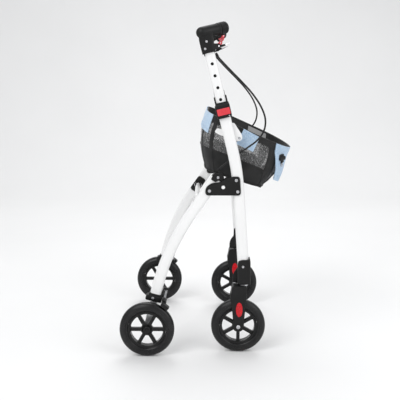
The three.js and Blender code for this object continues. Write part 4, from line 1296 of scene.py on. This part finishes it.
def panel_line(t):
    """The height of the seam between the solid lower panel and the net, which dips at the front
    corners."""
    from_corner = min(abs(t - 0.255), abs(t - 0.995), abs(t + 0.005))
    dip = 1 - min(1, max(0, (from_corner - 0.008) / 0.03))
    return 0.40 + 0.015 * math.sin(2 * math.pi * 3 * t) - 0.30 * dip * dip * (3 - 2 * dip)


def above_panel_line(shares):
    """The heights of a strip that starts at the lower panel's seam and ends at the rim's band."""
    return lambda along: (panel_line(lerp(shares[0], shares[1], along)) - 0.01, NET_TOP)


def make_bag():
    whole = (0.0, 1.0)
    lower = cloth(whole, lambda t: (0.0, panel_line(t)), 0.0, 1.2, WALL_SAG)
    bag_piece(lower, "bag_lower_panel", NYLON, stands_for=["bag"])
    net = cloth(whole, above_panel_line(whole), -0.4, 0.8, WALL_SAG)
    bag_piece(net, "bag_net_panel", NET)
    for which, shares in (("right", (0.246, 0.285)), ("left", (-0.035, 0.004))):
        corner = cloth(shares, above_panel_line(shares), 0.7, 0.9, WALL_SAG)
        bag_piece(corner, f"bag_corner_panel_{which}", NYLON)
    band = cloth(whole, lambda t: (0.885, 1.0), 0.9, 3.0, 1.2)
    bag_piece(band, "bag_rim_band", WEBBING)
    all_round = [i / AROUND for i in range(AROUND + 1)]
    seam = [bag_point(share, panel_line(share), 0.5 + slack(bag_point(share, 0.4), WALL_SAG))
            for share in all_round]
    bag_piece(piping(seam, 1.3), "bag_seam_piping", WEBBING)
    rim = [bag_point(share, 1.0, -0.6) for share in all_round]
    bag_piece(piping(rim, 2.6), "bag_rim_piping", WEBBING)
    for height, name in ((0.90, "lower"), (0.975, "upper")):
        run = [(lerp(0.262, 0.487, i / 40), height) for i in range(41)]
        stitches(f"rim_{name}_stitches", run, 1.4, 1.2, material=GREY_THREAD)
    make_bag_floor()
    make_bag_bindings()
    make_denim_pieces()
    make_bag_trim()


def make_bag_floor():
    """The floor sags a little between its seams."""
    points, faces = [], []
    circles, around = 14, AROUND
    for layer in (0, 2.2):
        for i in range(circles + 1):
            reach = i / circles
            for j in range(around):
                at = bag_point(j / around, 0, 0, reach)
                sag = 3.0 * (1 - reach ** 2) + slack(at, 1.6) * (1 - reach)
                points.append((at.x, at.y, at.z - sag + layer + 1.2 * (reach ** 6)))
    sheet = (circles + 1) * around
    for i in range(circles):
        for j in range(around):
            a, b = i * around + j, i * around + (j + 1) % around
            faces.append((a, b, b + around, a + around))
            faces.append((a + sheet, a + around + sheet, b + around + sheet, b + sheet))
    edge = circles * around
    for j in range(around):
        k = (j + 1) % around
        faces.append((edge + j, edge + k, edge + k + sheet, edge + j + sheet))
    bag_piece(from_faces(points, faces), "bag_floor", NYLON)
    hem = [bag_point(j / around, 0.012, 0.4) for j in range(around + 1)]
    bag_piece(piping(hem, 2.2), "bag_floor_piping", WEBBING)


def make_bag_bindings():
    """Bound upright seams at the corners, and one in front of each rear corner."""
    for index, share in enumerate((0.262, 0.468, 0.532, 0.738, 0.988)):
        strip = cloth((share - 0.0065, share + 0.0065), lambda t: (0.0, 0.96), 1.3, 2.2, WALL_SAG)
        bag_piece(strip, f"bag_binding_{index + 1}", WEBBING)


def stitches(name, spots, out, sag, fall=lambda point: point, material=THREAD):
    """Short raised stitches along a line of (share, height) places."""
    runs = []
    ends = [fall(settled(share, height, out, sag)) for share, height in spots]
    for a, b in zip(ends, ends[1:]):
        steps = max(1, int((b - a).length / 4.2))
        for k in range(steps):
            p, q = a.lerp(b, (k + 0.15) / steps), a.lerp(b, (k + 0.75) / steps)
            runs.append(round_sweep([p, p.lerp(q, 0.5), q], 0.4, 6))
    return bag_piece(joined(*runs), name, material)


def wavy(level, depth, speed):
    """A height that waves along a strip."""
    return lambda along: level + depth * math.sin(speed * along)


def make_denim_pieces():
    """Denim panels: across the rear, over the front, and a flap on each side of the rim."""
    shares = (0.487, 0.763)
    foot = wavy(0.665, 0.02, 5)
    rear = cloth(shares, lambda t: (foot(t), DENIM_TOP), 2.6, 1.6, REAR_SAG)
    declare_hung(rear, "denim_rear", shares, 0.665)
    hem = cloth(shares, lambda t: (foot(t) - 0.004, foot(t) + 0.05), 3.5, 2.4, REAR_SAG)
    bag_piece(hem, "denim_rear_hem", DENIM)
    run = [(lerp(*shares, i / 40), foot(i / 40) + 0.06) for i in range(41)]
    stitches("denim_rear_stitches", run, 3.2, REAR_SAG)
    shares = (-0.012, 0.262)
    foot = wavy(0.17, 0.03, 7)
    front = cloth(shares, lambda t: (foot(t), DENIM_TOP), 2.9, 1.6, FRONT_SAG)
    declare_hung(hang(front), "denim_front", shares, 0.17)
    hem = cloth(shares, lambda t: (foot(t) - 0.004, foot(t) + 0.075), 3.8, 2.6, FRONT_SAG)
    bag_piece(hang(hem), "denim_front_hem", DENIM)
    edge = cloth((0.252, 0.263), lambda t: (0.19, 1.012), 3.8, 2.6, FRONT_SAG)
    bag_piece(hang(edge), "denim_front_edge", DENIM)
    run = [(lerp(*shares, i / 60), foot(i / 60) + 0.085) for i in range(61)]
    stitches("denim_front_stitches", run, 3.6, FRONT_SAG, hung)
    run = [(0.2505, 0.27 + 0.72 * i / 12) for i in range(13)]
    stitches("denim_front_edge_stitches", run, 3.6, FRONT_SAG, hung)
    for name, middle_share in (("right", 0.345), ("left", 0.905)):
        half = 0.031
        shares = (middle_share - half, middle_share + half)
        flap = cloth(shares, lambda t: (0.72, DENIM_TOP), 2.8, 1.6, FLAP_SAG)
        hem = cloth(shares, lambda t: (0.716, 0.76), 3.6, 2.4, FLAP_SAG)
        top = max(v.co.z for v in flap.data.vertices)
        declare_hung(shear(flap, top), f"denim_flap_{name}", shares, 0.72)
        bag_piece(shear(hem, top), f"denim_flap_{name}_hem", DENIM)


def hung(point):
    """Where a point of the front panel falls: forward of the wall, which slopes back below the rim."""
    below = max(0.0, rim_height(point.x) - point.z - 22)
    ripple = 1 + 0.16 * math.sin(point.y * 0.045 + 0.6)
    forward = 0.19 + 0.11 * (point.y / RIM_HALF) ** 2
    return Vector((point.x + forward * below * ripple, point.y, point.z))


def hang(made):
    for v in made.data.vertices:
        v.co = hung(v.co)
    made.data.update()
    return made


def run_length(points):
    return sum((b - a).length for a, b in zip(points, points[1:]))


def declare_hung(made, name, shares, foot):
    """A panel of cloth that is sewn along the rim and hangs from it, placed as a piece of the bag. It
    measures the width of its top edge and the length of its fall, and uses neither."""
    bag_piece(made, name, DENIM)
    across = run_length([bag_point(lerp(*shares, i / 60), 0.9) for i in range(61)])
    down = run_length([bag_point((shares[0] + shares[1]) / 2, lerp(foot, DENIM_TOP, i / 20))
                       for i in range(21)])


def shear(made, top):
    """Slants a hanging flap back, square to the sloping rim."""
    for v in made.data.vertices:
        v.co.x -= 0.32 * (top - v.co.z)
    made.data.update()
    return made


def strap_box(name, centre, along, out, sizes, material, edge=0.8):
    """A rounded block on the cloth: its length along one way, its thickness along another."""
    length, width, thick = sizes
    made = slab(rectangle(-length / 2, length / 2, -width / 2, width / 2, width / 4), 0, thick, edge)
    x = along.normalized()
    y = (out - x * out.dot(x)).normalized()
    z = x.cross(y)
    frame_of = Matrix((x, y, z)).transposed().to_4x4()
    moved(made, Matrix.Translation(centre) @ frame_of)
    return bag_piece(made, name, material)


def make_bag_trim():
    """The buckle and ring on the front panel, a patch inside the rim, and a tab at the foot."""
    share = 0.232

    def on_panel(height, away):
        even = bag_point(share, height)
        return hung(bag_point(share, height, away + slack(even, FRONT_SAG)))

    up = on_panel(0.75, 3) - on_panel(0.45, 3)
    out = bag_point(share, 0.58, 10) - bag_point(share, 0.58)
    strap_box("buckle_strap", on_panel(0.765, 3.4), up, out, (15, 22, 1.8), WEBBING)
    strap_box("buckle_body", on_panel(0.735, 4.2), up, out, (12, 26, 5), BLACK, 1.4)
    strap_box("buckle_prongs", on_panel(0.675, 4.4), up, out, (10, 11, 4), BLACK, 1.2)
    strap_box("buckle_tail", on_panel(0.625, 3.6), up, out, (12, 8, 1.6), WEBBING)
    ring_at = on_panel(0.575, 5.5)
    side_way = up.cross(out).normalized()
    up_way = up.normalized()
    path = [ring_at + (side_way * math.cos(a) + up_way * math.sin(a)) * 4
            for a in turns(32) + [2 * math.pi]]
    bag_piece(round_sweep(path, 1.1, 10), "bag_ring", STEEL)
    foot = bag_point(0.262, 0.03)
    strap_box("bag_foot_tab", foot + Vector((2, 0, -1)), Vector((1, 0, -0.4)), Vector((0, -1, 0)),
              (13, 9, 2), WEBBING)
    inside = cloth((0.912, 0.985), lambda t: (0.74, 0.97), -4.2, 1.0, 1.0)
    bag_piece(inside, "bag_inner_patch", PATCH)
    lining = cloth((0.0, 1.0), lambda t: (0.86, 0.99), -2.6, 0.8, 1.2)
    bag_piece(lining, "bag_rim_lining", LINING)


# ---------------------------------------------------------------- surroundings
def make_surroundings():
    """A pale floor that curves up to a wall, and a soft studio."""
    points, faces = [], []
    profile = [(-4.0, 0), (2.2, 0)]
    profile += [(2.2 + 1.2 * math.sin(a), 1.2 - 1.2 * math.cos(a))
                for a in (math.pi / 2 * i / 16 for i in range(1, 17))]
    profile.append((3.4, 5))
    for y, z in profile:
        points += [(-6, y, z - 0.0004), (6, y, z - 0.0004)]
    for i in range(len(profile) - 1):
        faces.append((2 * i, 2 * i + 1, 2 * i + 3, 2 * i + 2))
    floor = from_faces(points, faces)
    floor.name = "floor_sweep"
    made = Nodes("pale_floor")
    made.cloud("Base Color", 1.2, 3, (0.795, 0.795, 0.793), (0.825, 0.825, 0.822))
    made.cloud("Roughness", 3, 2, 0.6, 0.7)
    dress(floor, made.material, 180)
    world = bpy.data.worlds.new("studio")
    bpy.context.scene.world = world
    bpy.context.scene.view_settings.view_transform = "Standard"
    world.use_nodes = True
    world.node_tree.nodes["Background"].inputs["Color"].default_value = (0.97, 0.98, 1, 1)
    world.node_tree.nodes["Background"].inputs["Strength"].default_value = 0.62
    for name, place_at, size, power in (
        ("key", (-1.6, -2.4, 2.9), 2.2, 62),
        ("fill", (2.4, -1.8, 1.9), 2.4, 30),
        ("back", (0.2, 1.7, 2.8), 2.6, 45),
    ):
        light = bpy.data.lights.new(name, "AREA")
        light.size = size
        light.energy = power
        lamp = bpy.data.objects.new(name, light)
        bpy.context.scene.collection.objects.link(lamp)
        lamp.location = place_at
        aim = Vector((0, 0, 0.45)) - Vector(place_at)
        lamp.rotation_euler = aim.to_track_quat("-Z", "Y").to_euler()


def make_camera():
    camera = bpy.data.cameras.new("camera")
    camera.lens = 70.9
    camera.sensor_width = 36
    made = bpy.data.objects.new("camera", camera)
    bpy.context.scene.collection.objects.link(made)
    made.location = (0.015, -2.3226, 0.7867)
    made.rotation_euler = (math.radians(80.276), 0, math.radians(0.943))
    bpy.context.scene.camera = made


# ---------------------------------------------------------------- the walker
make_camera()
SIDE_PARTS = (make_cable, make_wheels, make_tubes, make_height_tube, make_collar, make_button,
              make_housing, make_grip, make_lever, make_catch, make_outer_plate, make_inner_plate,
              make_rear_lug, make_leg_cap, make_bag_bracket, make_brake_bracket, make_brake_arm,
              make_brake_spring, make_strut, make_caster_housing, make_fork)
for side in (RIGHT, LEFT):
    for make_part in SIDE_PARTS:
        make_part(side)
make_brace("front", FRONT_BRACE)
make_brace("rear", REAR_BRACE)
make_bag()
make_surroundings()
